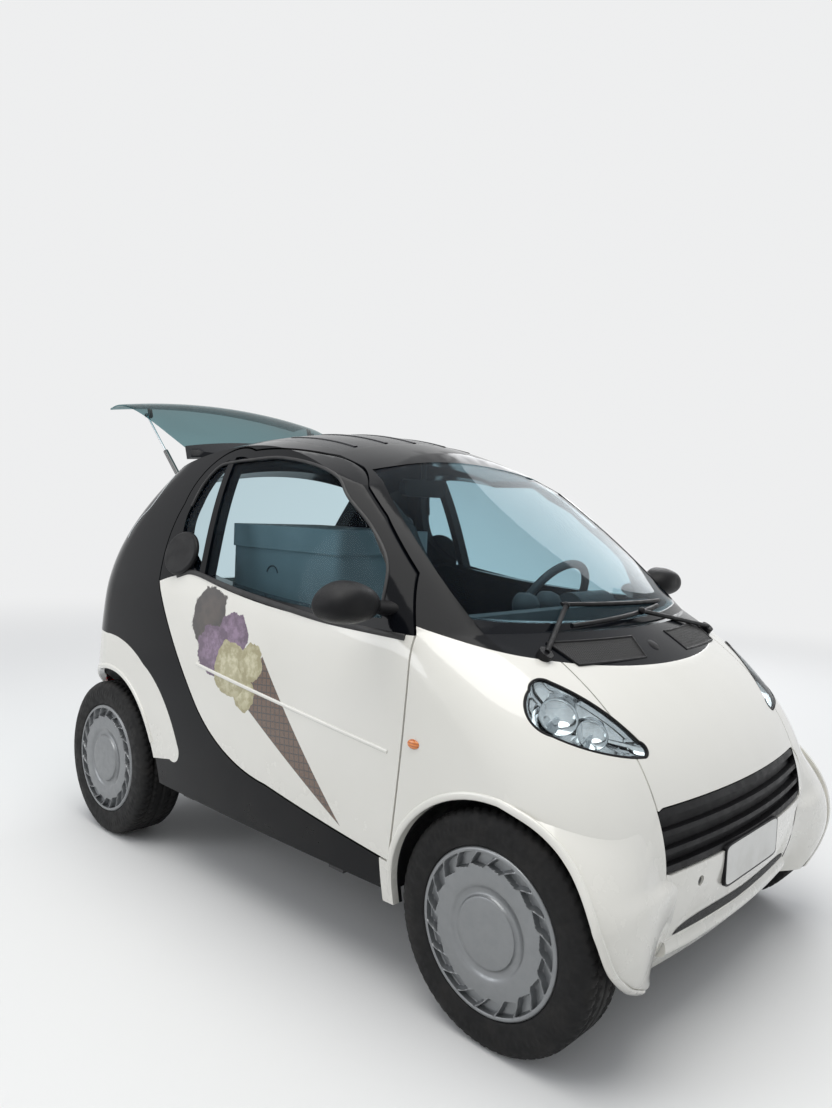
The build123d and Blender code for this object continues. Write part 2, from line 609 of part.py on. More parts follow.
parts["front_liners"] = liner(AXLE_FRONT_X, TYRE_FRONT_RADIUS, ARCH_FRONT_RADIUS + LINER_GAP, PANEL_WALL + CARRIER_WALL)
parts["rear_liners"] = liner(AXLE_REAR_X, TYRE_REAR_RADIUS, ARCH_REAR_RADIUS + REAR_LINER_GAP, PANEL_WALL)

# Floor, firewall, bulkhead and load floor
floor_outline = (
    (FIREWALL_X, FLOOR_Z), (FIREWALL_X, COWL_Z - FLOOR_WALL), (1200, COWL_Z - FLOOR_WALL), (1200, COWL_Z),
    (FIREWALL_X - FLOOR_WALL, COWL_Z), (FIREWALL_X - FLOOR_WALL, FLOOR_Z + FLOOR_WALL),
    (BULKHEAD_X + 8, FLOOR_Z + FLOOR_WALL), (BULKHEAD_X - 82, LOAD_FLOOR_Z), (-1400, LOAD_FLOOR_Z),
    (-1400, LOAD_FLOOR_Z - FLOOR_WALL), (BULKHEAD_X - 92, LOAD_FLOOR_Z - FLOOR_WALL), (BULKHEAD_X, FLOOR_Z),
)
floor = slab(floor_outline, (-FAR, FAR))
cowl_zone = block((FIREWALL_X - FLOOR_WALL, FAR), (-FAR, FAR), (0, FAR))
floor = (floor - cowl_zone & body(CELL_WALL)) + (floor & cowl_zone & body(PANEL_WALL + CARRIER_WALL))
floor = floor - [FRONT_CLEAR, REAR_CLEAR]
parts["floor_pan"] = floor

# Front axle with its rails, and the steered knuckles
beam = block((AXLE_FRONT_X - 24, AXLE_FRONT_X + 24), (-440, 440), (BEAM_Z[0], BEAM_Z[1]))
low, high = TYRE_FRONT_RADIUS - KNUCKLE_HALF_HEIGHT, TYRE_FRONT_RADIUS + KNUCKLE_HALF_HEIGHT
arm_y = (400, KINGPIN_Y + 26)
arm_x = (AXLE_FRONT_X - 24, AXLE_FRONT_X + 24)
fork = block(arm_x, arm_y, (low - SEAT_GAP - ARM_WALL, low - SEAT_GAP))
fork = fork + block(arm_x, arm_y, (high + SEAT_GAP, high + SEAT_GAP + ARM_WALL))
fork = fork + block(arm_x, (400, 440), (low - SEAT_GAP - ARM_WALL, high + SEAT_GAP + ARM_WALL))
fork = fork - rod((AXLE_FRONT_X, KINGPIN_Y, 100), (AXLE_FRONT_X, KINGPIN_Y, 500), KINGPIN_RADIUS + BEARING_GAP)
rail = block((RAIL_START_X, AXLE_FRONT_X), (RAIL_Y - 25, RAIL_Y + 25), (FLOOR_Z - RAIL_HEIGHT, FLOOR_Z))
parts["front_axle"] = Part() + beam + both(fork) + both(rail)

hub_y = TRACK_FRONT / 2
knuckle = block(
    (AXLE_FRONT_X - KNUCKLE_HALF_WIDTH, AXLE_FRONT_X + KNUCKLE_HALF_WIDTH),
    (KINGPIN_Y - KNUCKLE_HALF_WIDTH, KINGPIN_Y + KNUCKLE_HALF_WIDTH), (low, high),
)
knuckle = knuckle + rod(
    (AXLE_FRONT_X, KINGPIN_Y, low - ARM_WALL), (AXLE_FRONT_X, KINGPIN_Y, high + ARM_WALL), KINGPIN_RADIUS)
knuckle = knuckle + across(AXLE_FRONT_X, TYRE_FRONT_RADIUS, (KINGPIN_Y, hub_y + SPINDLE_REACH), SPINDLE_RADIUS)
parts["knuckle_left"] = knuckle
parts["knuckle_right"] = other_side(knuckle)

# Rear axle with trailing arms
rear_hub_y = TRACK_REAR / 2
axle_z = TYRE_REAR_RADIUS
rear_axle = across(AXLE_REAR_X, axle_z, (-rear_hub_y + 40, rear_hub_y - 40), AXLE_TUBE_RADIUS)
rear_axle = rear_axle + across(AXLE_REAR_X, axle_z, (-rear_hub_y - SPINDLE_REACH, rear_hub_y + SPINDLE_REACH), SPINDLE_RADIUS)
arm = slab((
    (AXLE_REAR_X - 34, axle_z - 30), (BULKHEAD_X + 120, FLOOR_Z - 46), (BULKHEAD_X + 120, FLOOR_Z),
    (BULKHEAD_X, FLOOR_Z), (AXLE_REAR_X - 34, axle_z + 30),
), (RAIL_Y + 10, RAIL_Y + 60))
parts["rear_axle"] = rear_axle + both(arm)
parts["engine_block"] = block(ENGINE_X, ENGINE_Y, ENGINE_Z)

# Wheels: rim, hub and cover in one turned piece, with slits around the cover's edge
def wheel_profile(width):
    half = width / 2
    rim_in, rim_out = -(half - 9), half - 15
    return (
        (0, SPINDLE_REACH + 3), (SPINDLE_RADIUS + BEARING_GAP, SPINDLE_REACH + 3),
        (SPINDLE_RADIUS + BEARING_GAP, 20), (46, 20), (46, SPINDLE_REACH - 8), (RIM_SEAT_RADIUS - RIM_WALL, SPINDLE_REACH - 14),
        (RIM_SEAT_RADIUS - RIM_WALL, rim_in), (RIM_SEAT_RADIUS, rim_in), (RIM_SEAT_RADIUS, rim_out),
        (COVER_RADIUS, rim_out), (COVER_RADIUS, half - 8), (182, half + COVER_PROUD - 2, "arc"), (160, half + COVER_PROUD - 3),
        (126, half + COVER_PROUD - 9), (98, half + COVER_PROUD - 4), (86, half + COVER_PROUD - 10), (76, half + COVER_PROUD),
        (44, half + COVER_PROUD + 3), (0, half + COVER_PROUD + 3),
    )


def cover_slits(x, y, z, width):
    """Slanted slits round the wheel cover's face."""
    place = Pos(x, y + width / 2 - 4, z)
    slit = Pos(SLIT_RADIUS, 0, 0) * Rot(0, SLIT_SLANT, 0) * Box(*SLIT_SIZE)
    return [place * Rot(0, 360 * k / SLIT_COUNT, 0) * slit for k in range(SLIT_COUNT)]


def tyre_profile(width, radius):
    half = width / 2
    return (
        (RIM_SEAT_RADIUS, -(half - 9)), (206, -half + 3), (232, -half), (radius - TYRE_SHOULDER, -half + 5),
        (radius - 8, -half + 12, "arc"), (radius, -half + TYRE_SHOULDER), (radius, half - TYRE_SHOULDER),
        (radius - 8, half - 12, "arc"), (radius - TYRE_SHOULDER, half - 5), (232, half), (COVER_RADIUS + 1, half - 4),
        (COVER_RADIUS + 1, half - 15.6), (RIM_SEAT_RADIUS, half - 15.6),
    )


def wheel_set(name, x, y, width, radius):
    wheel = turned(wheel_profile(width), x, y, radius) - cover_slits(x, y, radius, width)
    tyre = turned(tyre_profile(width, radius), x, y, radius)
    parts["wheel_" + name + "_left"] = wheel
    parts["wheel_" + name + "_right"] = other_side(wheel)
    parts["tyre_" + name + "_left"] = tyre
    parts["tyre_" + name + "_right"] = other_side(tyre)


wheel_set("front", AXLE_FRONT_X, TRACK_FRONT / 2, TYRE_FRONT_WIDTH, TYRE_FRONT_RADIUS)
wheel_set("rear", AXLE_REAR_X, TRACK_REAR / 2, TYRE_REAR_WIDTH, TYRE_REAR_RADIUS)

# Exhaust, hung on the rear cross wall
muffler = across(EXHAUST_X, EXHAUST_Z, (-200, 200), EXHAUST_RADIUS)
hanger = block((-1225, EXHAUST_X), (-30, 30), (EXHAUST_Z, SILL_BOTTOM_Z))
pipe = rod((EXHAUST_X, -120, EXHAUST_Z - 10), (-1225, -120, EXHAUST_Z - 10), 24, 20)
parts["exhaust"] = Part() + muffler + hanger + pipe - cell

# Dashboard with steering column
dash_outline = (
    (FIREWALL_X - FLOOR_WALL, 700), (FIREWALL_X - FLOOR_WALL, COWL_Z), (640, 985), (520, 962, "arc"), (452, 900),
    (440, 830, "arc"), (470, 760), (540, 700),
)
dash = slab(dash_outline, (-FAR, FAR)) & body(CELL_WALL + 10)
sx, sy, sz = STEERING_CENTRE
tilt = radians(STEERING_TILT)


def along_column(distance):
    """A point on the steering axis, ahead of the steering wheel's centre."""
    return (sx + distance * cos(tilt), sy, sz - distance * sin(tilt))


column = rod(along_column(COLUMN_START), along_column(210), COLUMN_RADIUS)
binnacle = across(500, 950, (sy - 110, sy + 110), 62) & block((380, 640), (0, FAR), (900, FAR))
dash = dash + column + binnacle
dash = dash - rod(along_column(0), along_column(COLUMN_START + 70), SHAFT_RADIUS + BEARING_GAP)
parts["dashboard"] = dash - floor
steer_plane = Plane(STEERING_CENTRE, x_dir=(0, 1, 0), z_dir=(-cos(tilt), 0, sin(tilt)))
rim_circle = steer_plane * Torus(STEERING_RADIUS, STEERING_RIM_RADIUS)
hub = rod(along_column(-18), along_column(34), 44)
shaft = rod(along_column(0), along_column(COLUMN_START + 60), SHAFT_RADIUS)
spokes = Part()
for angle in (0, 90, 180):
    spokes = spokes + steer_plane * Rot(0, 0, angle) * Pos(STEERING_RADIUS / 2, 0, 0) * Box(STEERING_RADIUS - 6, 30, 12)
parts["steering_wheel"] = rim_circle + hub + shaft + spokes

# Driver's seat
seat_y = (STEERING_CENTRE[1] - SEAT_WIDTH / 2, STEERING_CENTRE[1] + SEAT_WIDTH / 2)
cushion = slab(((-330, 420), (150, 450), (165, 540), (100, 566), (-330, 520)), seat_y)
back = slab(((-330, 420), (-290, 540), (-428, 1090), (-510, 1090), (-450, 560), (-420, 420)), seat_y)
head = slab(((-452, 1080), (-440, 1240), (-500, 1250), (-528, 1080)), (STEERING_CENTRE[1] - 120, STEERING_CENTRE[1] + 120))
base = block((-280, 100), (STEERING_CENTRE[1] - 160, STEERING_CENTRE[1] + 160), (FLOOR_Z + FLOOR_WALL, 440))
parts["driver_seat"] = cushion + back + head + base

# Cooler chest and its lid
lid_z = COOLER_TOP_Z - COOLER_LID
cooler_centre = ((COOLER_X[0] + COOLER_X[1]) / 2, (COOLER_Y[0] + COOLER_Y[1]) / 2)
cooler_size = (COOLER_X[1] - COOLER_X[0], COOLER_Y[1] - COOLER_Y[0])


def rounded_post(size, edge, z):
    """An upright block with rounded vertical edges, centred on the chest."""
    sketch = Pos(cooler_centre[0], cooler_centre[1], z[0]) * RectangleRounded(size[0], size[1], edge)
    return extrude(sketch, z[1] - z[0])


inside = (cooler_size[0] - 2 * COOLER_WALL, cooler_size[1] - 2 * COOLER_WALL)
tub = rounded_post(cooler_size, COOLER_EDGE, (FLOOR_Z + FLOOR_WALL, lid_z))
tub = tub - rounded_post(inside, COOLER_EDGE - 10, (FLOOR_Z + FLOOR_WALL + COOLER_WALL, lid_z + 10))
lid = rounded_post((cooler_size[0] + 2 * LID_PROUD, cooler_size[1] + 2 * LID_PROUD), COOLER_EDGE, (lid_z + SEAT_GAP, COOLER_TOP_Z))
plug_size = (inside[0] - 2 * LID_GAP, inside[1] - 2 * LID_GAP)
lid = lid + rounded_post(plug_size, COOLER_EDGE - 10 - LID_GAP, (lid_z - COOLER_LID_LIP, lid_z + 10))
parts["cooler_tub"] = tub
parts["cooler_lid"] = lid

# Door mirrors
mirror_plane = Plane((MIRROR_CENTRE[0] - 30, MIRROR_CENTRE[1], MIRROR_CENTRE[2]), x_dir=(0, 1, 0), z_dir=(1, 0, 0))
mirror_body = extrude(mirror_plane * Ellipse(MIRROR_SIZE[1], MIRROR_SIZE[2]), MIRROR_SIZE[0] + 30)
front_edge = mirror_body.edges().sort_by(Axis.X)[-1]
mirror_body = fillet(front_edge, 20)
stalk = rod((MIRROR_CENTRE[0] + 12, 660, MIRROR_CENTRE[2] - 26), (MIRROR_CENTRE[0] + 12, MIRROR_CENTRE[1], MIRROR_CENTRE[2] - 22), 15)
door_mirror = mirror_body + stalk - body(0)
parts["mirror_left"] = door_mirror
parts["mirror_right"] = other_side(door_mirror)

# Door handle pods
lean = radians(HANDLE_LEAN)
handle_plane = Plane(HANDLE_CENTRE, x_dir=(1, 0, 0), z_dir=(0, cos(lean), sin(lean)))
handle = extrude(handle_plane * Ellipse(*HANDLE_HALF_SIZE), HANDLE_PROUD)
handle = handle + extrude(handle_plane * Ellipse(*HANDLE_HALF_SIZE), -20)
handle = fillet(handle.edges().sort_by(Axis.Y)[-1], 10) - body(0)
parts["door_handle_left"] = handle
parts["door_handle_right"] = other_side(handle)

# Wipers, parked along the foot of the windscreen
wipers = Part()
for pivot, knee, blade_start, blade_middle, blade_end in WIPERS:
    post_foot = (pivot[0] - 30, pivot[1], pivot[2] - 40)
    post_top = (pivot[0] + 10, pivot[1], pivot[2] + 14)
    bow = ThreePointArc(blade_start, blade_middle, blade_end)
    blade = sweep(Plane(blade_start, z_dir=bow % 0) * Circle(WIPER_RADIUS), path=bow)
    wipers = wipers + rod(post_foot, post_top, 20) + rod(post_top, knee, WIPER_RADIUS)
    wipers = wipers + Pos(*knee) * Sphere(WIPER_RADIUS + 4) + blade
parts["wipers"] = wipers - body(0)

# Interior mirror, hung from the header
mirror_stem = rod((-10, 0, 1372), (-10, 0, 1440), 9)
glass_plane = Plane((-24, 0, 1352), x_dir=(0, 1, 0), z_dir=(1, 0, 0))
parts["interior_mirror"] = mirror_stem + extrude(glass_plane * RectangleRounded(220, 62, 26), 28)

# Gas struts between the body and the open hatch
eye_angle = radians(STRUT_EYE_ANGLE)
foot = (STRUT_FOOT[0], STRUT_Y, STRUT_FOOT[1])
eye = (HATCH_HINGE[0] - STRUT_EYE_REACH * cos(eye_angle), STRUT_Y, HATCH_HINGE[1] + STRUT_EYE_REACH * sin(eye_angle))
strut_length = hypot(eye[0] - foot[0], eye[2] - foot[2])


def along_strut(distance):
    share = distance / strut_length
    return (foot[0] + (eye[0] - foot[0]) * share, STRUT_Y, foot[2] + (eye[2] - foot[2]) * share)


tube = rod(along_strut(0), along_strut(STRUT_TUBE_LENGTH), STRUT_TUBE_RADIUS)
tube = tube - rod(along_strut(12), along_strut(STRUT_TUBE_LENGTH), STRUT_ROD_RADIUS + BEARING_GAP)
foot_eye = across(foot[0], foot[2], (STRUT_Y - 9, STRUT_Y + 9), STRUT_EYE_RADIUS + 5)
foot_bore = across(foot[0], foot[2], (STRUT_Y - 20, STRUT_Y + 20), STRUT_PIN_RADIUS + BEARING_GAP)
tube = tube + foot_eye - foot_bore
rod_piece = rod(along_strut(strut_length - STRUT_ROD_LENGTH), along_strut(strut_length), STRUT_ROD_RADIUS)
rod_piece = rod_piece + across(eye[0], eye[2], (STRUT_Y - 7, STRUT_Y + 7), STRUT_EYE_RADIUS)
rod_piece = rod_piece - across(eye[0], eye[2], (STRUT_Y - 20, STRUT_Y + 20), STRUT_PIN_RADIUS + BEARING_GAP)
for side, side_name in ((1, "left"), (-1, "right")):
    place = (lambda shape: shape) if side > 0 else other_side
    parts["strut_tube_" + side_name] = place(tube)
    parts["strut_rod_" + side_name] = place(rod_piece)
print("strut length", strut_length)

# Every piece moves along X, so that the origin is under the middle of the whole model
low_x = parts["hatch_glass"].bounding_box().min.X
high_x = parts["front_bumper"].bounding_box().max.X
SHIFT = -(low_x + high_x) / 2
print("shift", SHIFT)

os.makedirs("parts", exist_ok=True)
for name, shape in parts.items():
    export_step(Pos(SHIFT, 0, 0) * (Part() + shape), "parts/" + name + ".step")
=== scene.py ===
"""Looks of the micro car fitted out to sell ice cream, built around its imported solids.

Metres, +X forward, +Y the car's left, +Z up, ground at z = 0. Places are written in the
car's own frame, whose x = 0 is midway between the bumpers, and moved by SHIFT.
"""
import json
from math import cos, pi, radians, sin

import bpy
import numpy as np
from mathutils import Matrix, Vector
from mathutils.bvhtree import BVHTree

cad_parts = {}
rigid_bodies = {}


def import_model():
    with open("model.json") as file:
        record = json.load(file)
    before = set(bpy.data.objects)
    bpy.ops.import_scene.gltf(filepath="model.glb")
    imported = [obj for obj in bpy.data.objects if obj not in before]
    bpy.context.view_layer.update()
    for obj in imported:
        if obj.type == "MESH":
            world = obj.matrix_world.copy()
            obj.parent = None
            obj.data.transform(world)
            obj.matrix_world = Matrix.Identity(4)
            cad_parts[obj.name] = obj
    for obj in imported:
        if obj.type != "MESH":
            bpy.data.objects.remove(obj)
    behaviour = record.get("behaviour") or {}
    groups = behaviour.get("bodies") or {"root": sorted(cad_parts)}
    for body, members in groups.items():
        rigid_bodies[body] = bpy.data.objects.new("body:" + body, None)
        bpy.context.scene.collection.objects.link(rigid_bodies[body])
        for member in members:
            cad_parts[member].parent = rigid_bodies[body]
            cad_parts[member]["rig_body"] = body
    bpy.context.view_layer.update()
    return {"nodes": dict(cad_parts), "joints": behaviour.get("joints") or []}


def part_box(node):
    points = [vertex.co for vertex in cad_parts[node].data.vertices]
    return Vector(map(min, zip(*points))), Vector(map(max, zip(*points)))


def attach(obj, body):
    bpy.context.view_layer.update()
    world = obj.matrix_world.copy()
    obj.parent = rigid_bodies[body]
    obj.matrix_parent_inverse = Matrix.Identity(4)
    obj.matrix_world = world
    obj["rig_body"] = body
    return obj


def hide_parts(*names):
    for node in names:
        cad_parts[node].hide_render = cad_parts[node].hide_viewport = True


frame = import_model()
JOINTS = {joint["name"]: joint for joint in frame["joints"]}
SHIFT = JOINTS["roll_front_left"]["pos_m"][0] - 0.910

# Axles: x, half the track, radius of the wheel, width of the tyre
AXLES = {"front": (0.910, 0.636, 0.285, 0.145), "rear": (-0.902, 0.660, 0.287, 0.175)}
SIDES = (("left", 1), ("right", -1))

# Body outlines: height, nose x, tail x, half width, front arc, front corner, rear corner, rear arc
LEVELS = np.array((
    (0.150, 1.165, -1.185, 0.690, 3.00, 0.200, 0.230, 3.0),
    (0.400, 1.250, -1.250, 0.740, 3.20, 0.190, 0.260, 3.0),
    (0.600, 1.222, -1.243, 0.748, 2.60, 0.260, 0.270, 3.0),
    (0.800, 1.085, -1.228, 0.738, 2.20, 0.330, 0.260, 3.0),
    (0.960, 0.890, -1.215, 0.715, 1.15, 0.230, 0.250, 3.0),
    (1.150, 0.613, -1.135, 0.660, 1.70, 0.170, 0.220, 2.6),
    (1.320, 0.366, -0.965, 0.600, 2.30, 0.140, 0.180, 2.4),
    (1.450, 0.176, -0.815, 0.535, 2.80, 0.120, 0.150, 2.2),
    (1.600, -0.040, -0.640, 0.440, 3.00, 0.100, 0.120, 2.2),
))
BELT = 4
# Height above which the roof bounds the body too
BELT_TOP = 0.97
SIDE_ARC = 20.0
SIDE_WIDEST_X = -0.2
ROOF_TOP, ROOF_MIDDLE_X = 1.549, -0.32
ROOF_ALONG, ROOF_ACROSS = 1.45, 1.8


def unit(vectors):
    """Vectors scaled to a length of one."""
    vectors = np.asarray(vectors, float)
    return vectors / np.linalg.norm(vectors, axis=-1, keepdims=True)


def natural_spline(heights, values, z):
    """Cubic through the rows, straight at its ends: second derivatives come from one small linear system."""
    h = np.diff(heights)[:, None]
    count = len(heights)
    system = np.eye(count)
    right = np.zeros_like(values)
    for k in range(1, count - 1):
        system[k, k - 1:k + 2] = (h[k - 1, 0], 2 * (h[k - 1, 0] + h[k, 0]), h[k, 0])
        right[k] = 6 * ((values[k + 1] - values[k]) / h[k] - (values[k] - values[k - 1]) / h[k - 1])
    bend = np.linalg.solve(system, right)
    k = np.clip(np.searchsorted(heights, z) - 1, 0, count - 2)
    step = h[k]
    a = (heights[k + 1] - z)[:, None]
    b = (z - heights[k])[:, None]
    return (
        (bend[k] * a ** 3 + bend[k + 1] * b ** 3) / (6 * step)
        + (values[k] / step - bend[k] * step / 6) * a
        + (values[k + 1] / step - bend[k + 1] * step / 6) * b
    )


def level_at(z):
    """Outline sizes at each height: one spline below the belt line and one above it."""
    z = np.atleast_1d(np.asarray(z, float)).ravel()
    low = natural_spline(LEVELS[:BELT + 1, 0], LEVELS[:BELT + 1, 1:], np.minimum(z, LEVELS[BELT, 0]))
    high = natural_spline(LEVELS[BELT:, 0], LEVELS[BELT:, 1:], np.maximum(z, LEVELS[BELT, 0]))
    return np.where((z < LEVELS[BELT, 0])[:, None], low, high).T


def corner_circle(middle, middle_radius, side_y, corner, forward):
    """Centre of the corner arc that touches the end arc (centre on y = 0) and the side arc inside."""
    first = middle_radius - corner
    second = SIDE_ARC - corner
    dx = SIDE_WIDEST_X - middle
    dy = side_y
    apart = np.hypot(dx, dy)
    along = (first ** 2 - second ** 2 + apart ** 2) / (2 * apart)
    aside = np.sqrt(np.maximum(first ** 2 - along ** 2, 0))
    x = middle + along * dx / apart
    y = along * dy / apart
    one = (x + aside * dy / apart, y - aside * dx / apart)
    two = (x - aside * dy / apart, y + aside * dx / apart)
    pick = (one[0] > two[0]) == forward
    return np.where(pick, one[0], two[0]), np.where(pick, one[1], two[1])


def arcs_at(z):
    nose, tail, half, front, front_corner, rear_corner, rear = level_at(z)
    side_y = half - SIDE_ARC
    return {
        "nose": nose, "tail": tail, "side_y": side_y, "front": front, "rear": rear,
        "front_corner": front_corner, "rear_corner": rear_corner,
        "front_at": corner_circle(nose - front, front, side_y, front_corner, True),
        "rear_at": corner_circle(tail + rear, rear, side_y, rear_corner, False),
    }


def nose_x(y, z):
    """Foremost x of the body at y and z: the front arc, then the corner arc."""
    y, z = np.broadcast_arrays(np.abs(np.asarray(y, float)), np.asarray(z, float))
    shape = y.shape
    y, z = y.ravel(), z.ravel()
    a = arcs_at(z)
    middle = a["nose"] - a["front"]
    cx, cy = a["front_at"]
    r = a["front_corner"]
    touch = cy + cy / (a["front"] - r) * r
    face = middle + np.sqrt(a["front"] ** 2 - y ** 2)
    corner = cx + np.sqrt(np.maximum(r ** 2 - (y - cy) ** 2, 0))
    return np.where(y < touch, face, corner).reshape(shape)


def roof_z(x, y):
    """Height of the crowned roof: an arc along the car, turned about a low axis."""
    along = ROOF_ALONG ** 2 - (np.asarray(x, float) - ROOF_MIDDLE_X) ** 2
    along = ROOF_TOP - ROOF_ALONG + np.sqrt(np.maximum(along, 0.01))
    low = ROOF_TOP - ROOF_ACROSS
    return low + np.sqrt(np.maximum((along - low) ** 2 - np.asarray(y, float) ** 2, 0.01))


def inside(points):
    """True where a point lies within the plan outline at its height and, above the belt, under the roof."""
    x, y, z = points[:, 0], np.abs(points[:, 1]), points[:, 2]
    a = arcs_at(z)
    face = a["nose"] - a["front"] + np.sqrt(np.maximum(a["front"] ** 2 - y ** 2, 0))
    flank = a["side_y"] + np.sqrt(np.maximum(SIDE_ARC ** 2 - (x - SIDE_WIDEST_X) ** 2, 0))
    back = a["tail"] + a["rear"] - np.sqrt(np.maximum(a["rear"] ** 2 - y ** 2, 0))
    held = (x < face) & (y < flank) & (x > back) & ((z < BELT_TOP) | (z < roof_z(x, y)))
    for end, sign in (("front", 1), ("rear", -1)):
        cx, cy = a[end + "_at"]
        corner = (sign * (x - cx) > 0) & (y > cy)
        held &= ~corner | (np.hypot(x - cx, y - cy) < a[end + "_corner"])
    return held


def onto(points, direction):
    """Points carried along a direction to where it leaves the body: 26 halvings of one metre."""
    points = np.asarray(points, float).reshape(-1, 3)
    direction = unit(np.broadcast_to(direction, points.shape))
    low = np.full(len(points), -0.5)
    high = -low
    for _ in range(26):
        middle = (low + high) / 2
        held = inside(points + middle[:, None] * direction)
        low = np.where(held, middle, low)
        high = np.where(held, high, middle)
    return points + low[:, None] * direction


def surface_normal(points):
    """Outward direction of the body at points on it: the cross product of two short steps along it."""
    guess = unit((points - np.array((-0.2, 0.0, 0.55))) * np.array((0.35, 1.0, 1.0)))
    level = unit(np.cross(guess, (0.0, 0.0, 1.0)))
    rise = np.cross(level, guess)
    steps = [onto(points + 0.004 * way, guess) - onto(points - 0.004 * way, guess) for way in (level, rise)]
    normal = unit(np.cross(*steps))
    return normal * np.sign((normal * guess).sum(1))[:, None]


def operator(operation, swapped=False):
    """Method of a Value that adds one Math node."""
    return lambda self, other=None: self.math(operation, other, swapped)


class Value:
    """A shader socket that takes part in sums: each operator adds one Math node."""

    __add__, __radd__ = operator("ADD"), operator("ADD", True)
    __sub__, __rsub__ = operator("SUBTRACT"), operator("SUBTRACT", True)
    __mul__, __rmul__ = operator("MULTIPLY"), operator("MULTIPLY", True)
    __pow__ = operator("POWER")
    abs, fract, sine = operator("ABSOLUTE"), operator("FRACT"), operator("SINE")
    least, most = operator("MINIMUM"), operator("MAXIMUM")

    def __init__(self, finish, socket):
        self.finish = finish
        self.socket = socket

    def math(self, operation, other=None, swapped=False):
        pair = (other, self) if swapped else (self, other)
        values = {k: v for k, v in enumerate(pair) if v is not None}
        return self.finish.node("ShaderNodeMath", {"operation": operation}, values)

    def ramp(self, low, high, start=0.0, end=1.0):
        """Smooth step from start to end as the value goes from low to high."""
        return self.finish.node(
            "ShaderNodeMapRange", {"interpolation_type": "SMOOTHSTEP"},
            {"Value": self, "From Min": low, "From Max": high, "To Min": start, "To Max": end},
        )


class Finish:
    """A material, or the world, whose nodes are added by one method."""

    def __init__(self, name, kind="Material"):
        data = bpy.data.materials if kind == "Material" else bpy.data.worlds
        self.material = data.new(name)
        self.material.use_nodes = True
        self.tree = self.material.node_tree
        self.tree.nodes.clear()
        self.output = self.tree.nodes.new("ShaderNodeOutput" + kind)
        self.coordinates = None

    def node(self, kind, settings=None, values=None, output=0):
        made = self.tree.nodes.new(kind)
        for name, value in (settings or {}).items():
            setattr(made, name, value)
        for name, value in (values or {}).items():
            self.put(made.inputs[name], value)
        return Value(self, made.outputs[output])

    def put(self, socket, value):
        if isinstance(value, Value):
            self.tree.links.new(value.socket, socket)
        elif hasattr(value, "__len__") and len(value) == 3 and socket.type == "RGBA":
            socket.default_value = (*value, 1.0)
        else:
            socket.default_value = value

    def place(self):
        """Object coordinates, as a vector."""
        if self.coordinates is None:
            self.coordinates = self.node("ShaderNodeTexCoord", output="Object")
        return self.coordinates

    def xyz(self):
        split = self.tree.nodes.new("ShaderNodeSeparateXYZ")
        self.put(split.inputs[0], self.place())
        return [Value(self, split.outputs[k]) for k in range(3)]

    def noise(self, scale, detail=3.0, roughness=0.5, stretch=None):
        place = self.place()
        if stretch is not None:
            place = self.node("ShaderNodeMapping", values={"Vector": place, "Scale": stretch})
        values = {"Vector": place, "Scale": scale, "Detail": detail, "Roughness": roughness}
        return self.node("ShaderNodeTexNoise", values=values)

    def cells(self, scale):
        return self.node("ShaderNodeTexVoronoi", values={"Vector": self.place(), "Scale": scale})

    def mix(self, share, first, second):
        """Colours mixed by a share."""
        made = self.tree.nodes.new("ShaderNodeMix")
        made.data_type = "RGBA"
        self.put(made.inputs[0], share)
        self.put(made.inputs[6], first)
        self.put(made.inputs[7], second)
        return Value(self, made.outputs[2])

    def seen(self):
        """One where a ray comes from the camera, a mirror or a clear pane; none for scattered light."""
        path = self.tree.nodes.new("ShaderNodeLightPath")
        names = ("Is Camera Ray", "Is Glossy Ray", "Is Transmission Ray")
        camera, glossy, transmission = (Value(self, path.outputs[name]) for name in names)
        return camera.most(glossy).most(transmission)

    def bump(self, height, distance):
        return self.node("ShaderNodeBump", values={"Height": height, "Distance": distance, "Strength": 1.0})

    def surface(self, **values):
        """Principled shader, its sockets given by name with underscores for spaces."""
        values = {name.replace("_", " "): value for name, value in values.items()}
        return self.node("ShaderNodeBsdfPrincipled", values=values)

    def done(self, shader):
        self.tree.links.new(shader.socket, self.output.inputs["Surface"])
        return self.material


def gloss_paint(name, colour, depth, roughness=0.22, coat=1.0, dust=0.12, specular=0.5, print_on=None):
    """Painted or moulded gloss: faint colour drift, a print if given, dust low down, orange peel."""
    f = Finish(name)
    z = f.xyz()[2]
    drift = f.noise(2.2, 4.0).ramp(0.3, 0.7)
    base = f.mix(drift, colour, depth)
    if print_on:
        base = print_on(f, base)
    low = z.ramp(0.62, 0.16, 0.0, 1.0) * f.noise(9.0, 5.0, 0.6).ramp(0.42, 0.7)
    base = f.mix(low * dust, base, (0.30, 0.26, 0.20))
    rough = roughness + low * 0.25 + f.noise(60.0, 2.0) * 0.04
    peel = f.bump(f.noise(320.0, 1.0), 0.00004)
    shader = f.surface(
        Base_Color=base, Roughness=rough, Coat_Weight=coat, Coat_Roughness=0.03,
        Specular_IOR_Level=specular, Normal=peel,
    )
    return f.done(shader)


def grained(name, colour, light, grain=900.0, roughness=0.55, height=0.00025, specular=0.5):
    """Moulded plastic: fine pebble grain, paler where rubbed."""
    f = Finish(name)
    cells = f.cells(grain)
    rubbed = f.noise(7.0, 5.0, 0.6).ramp(0.45, 0.75)
    base = f.mix(rubbed * 0.6, colour, light)
    rough = roughness + f.noise(30.0, 3.0).ramp(0.3, 0.7, -0.06, 0.08)
    pebble = f.bump(cells, height)
    return f.done(f.surface(Base_Color=base, Roughness=rough, Specular_IOR_Level=specular, Normal=pebble))


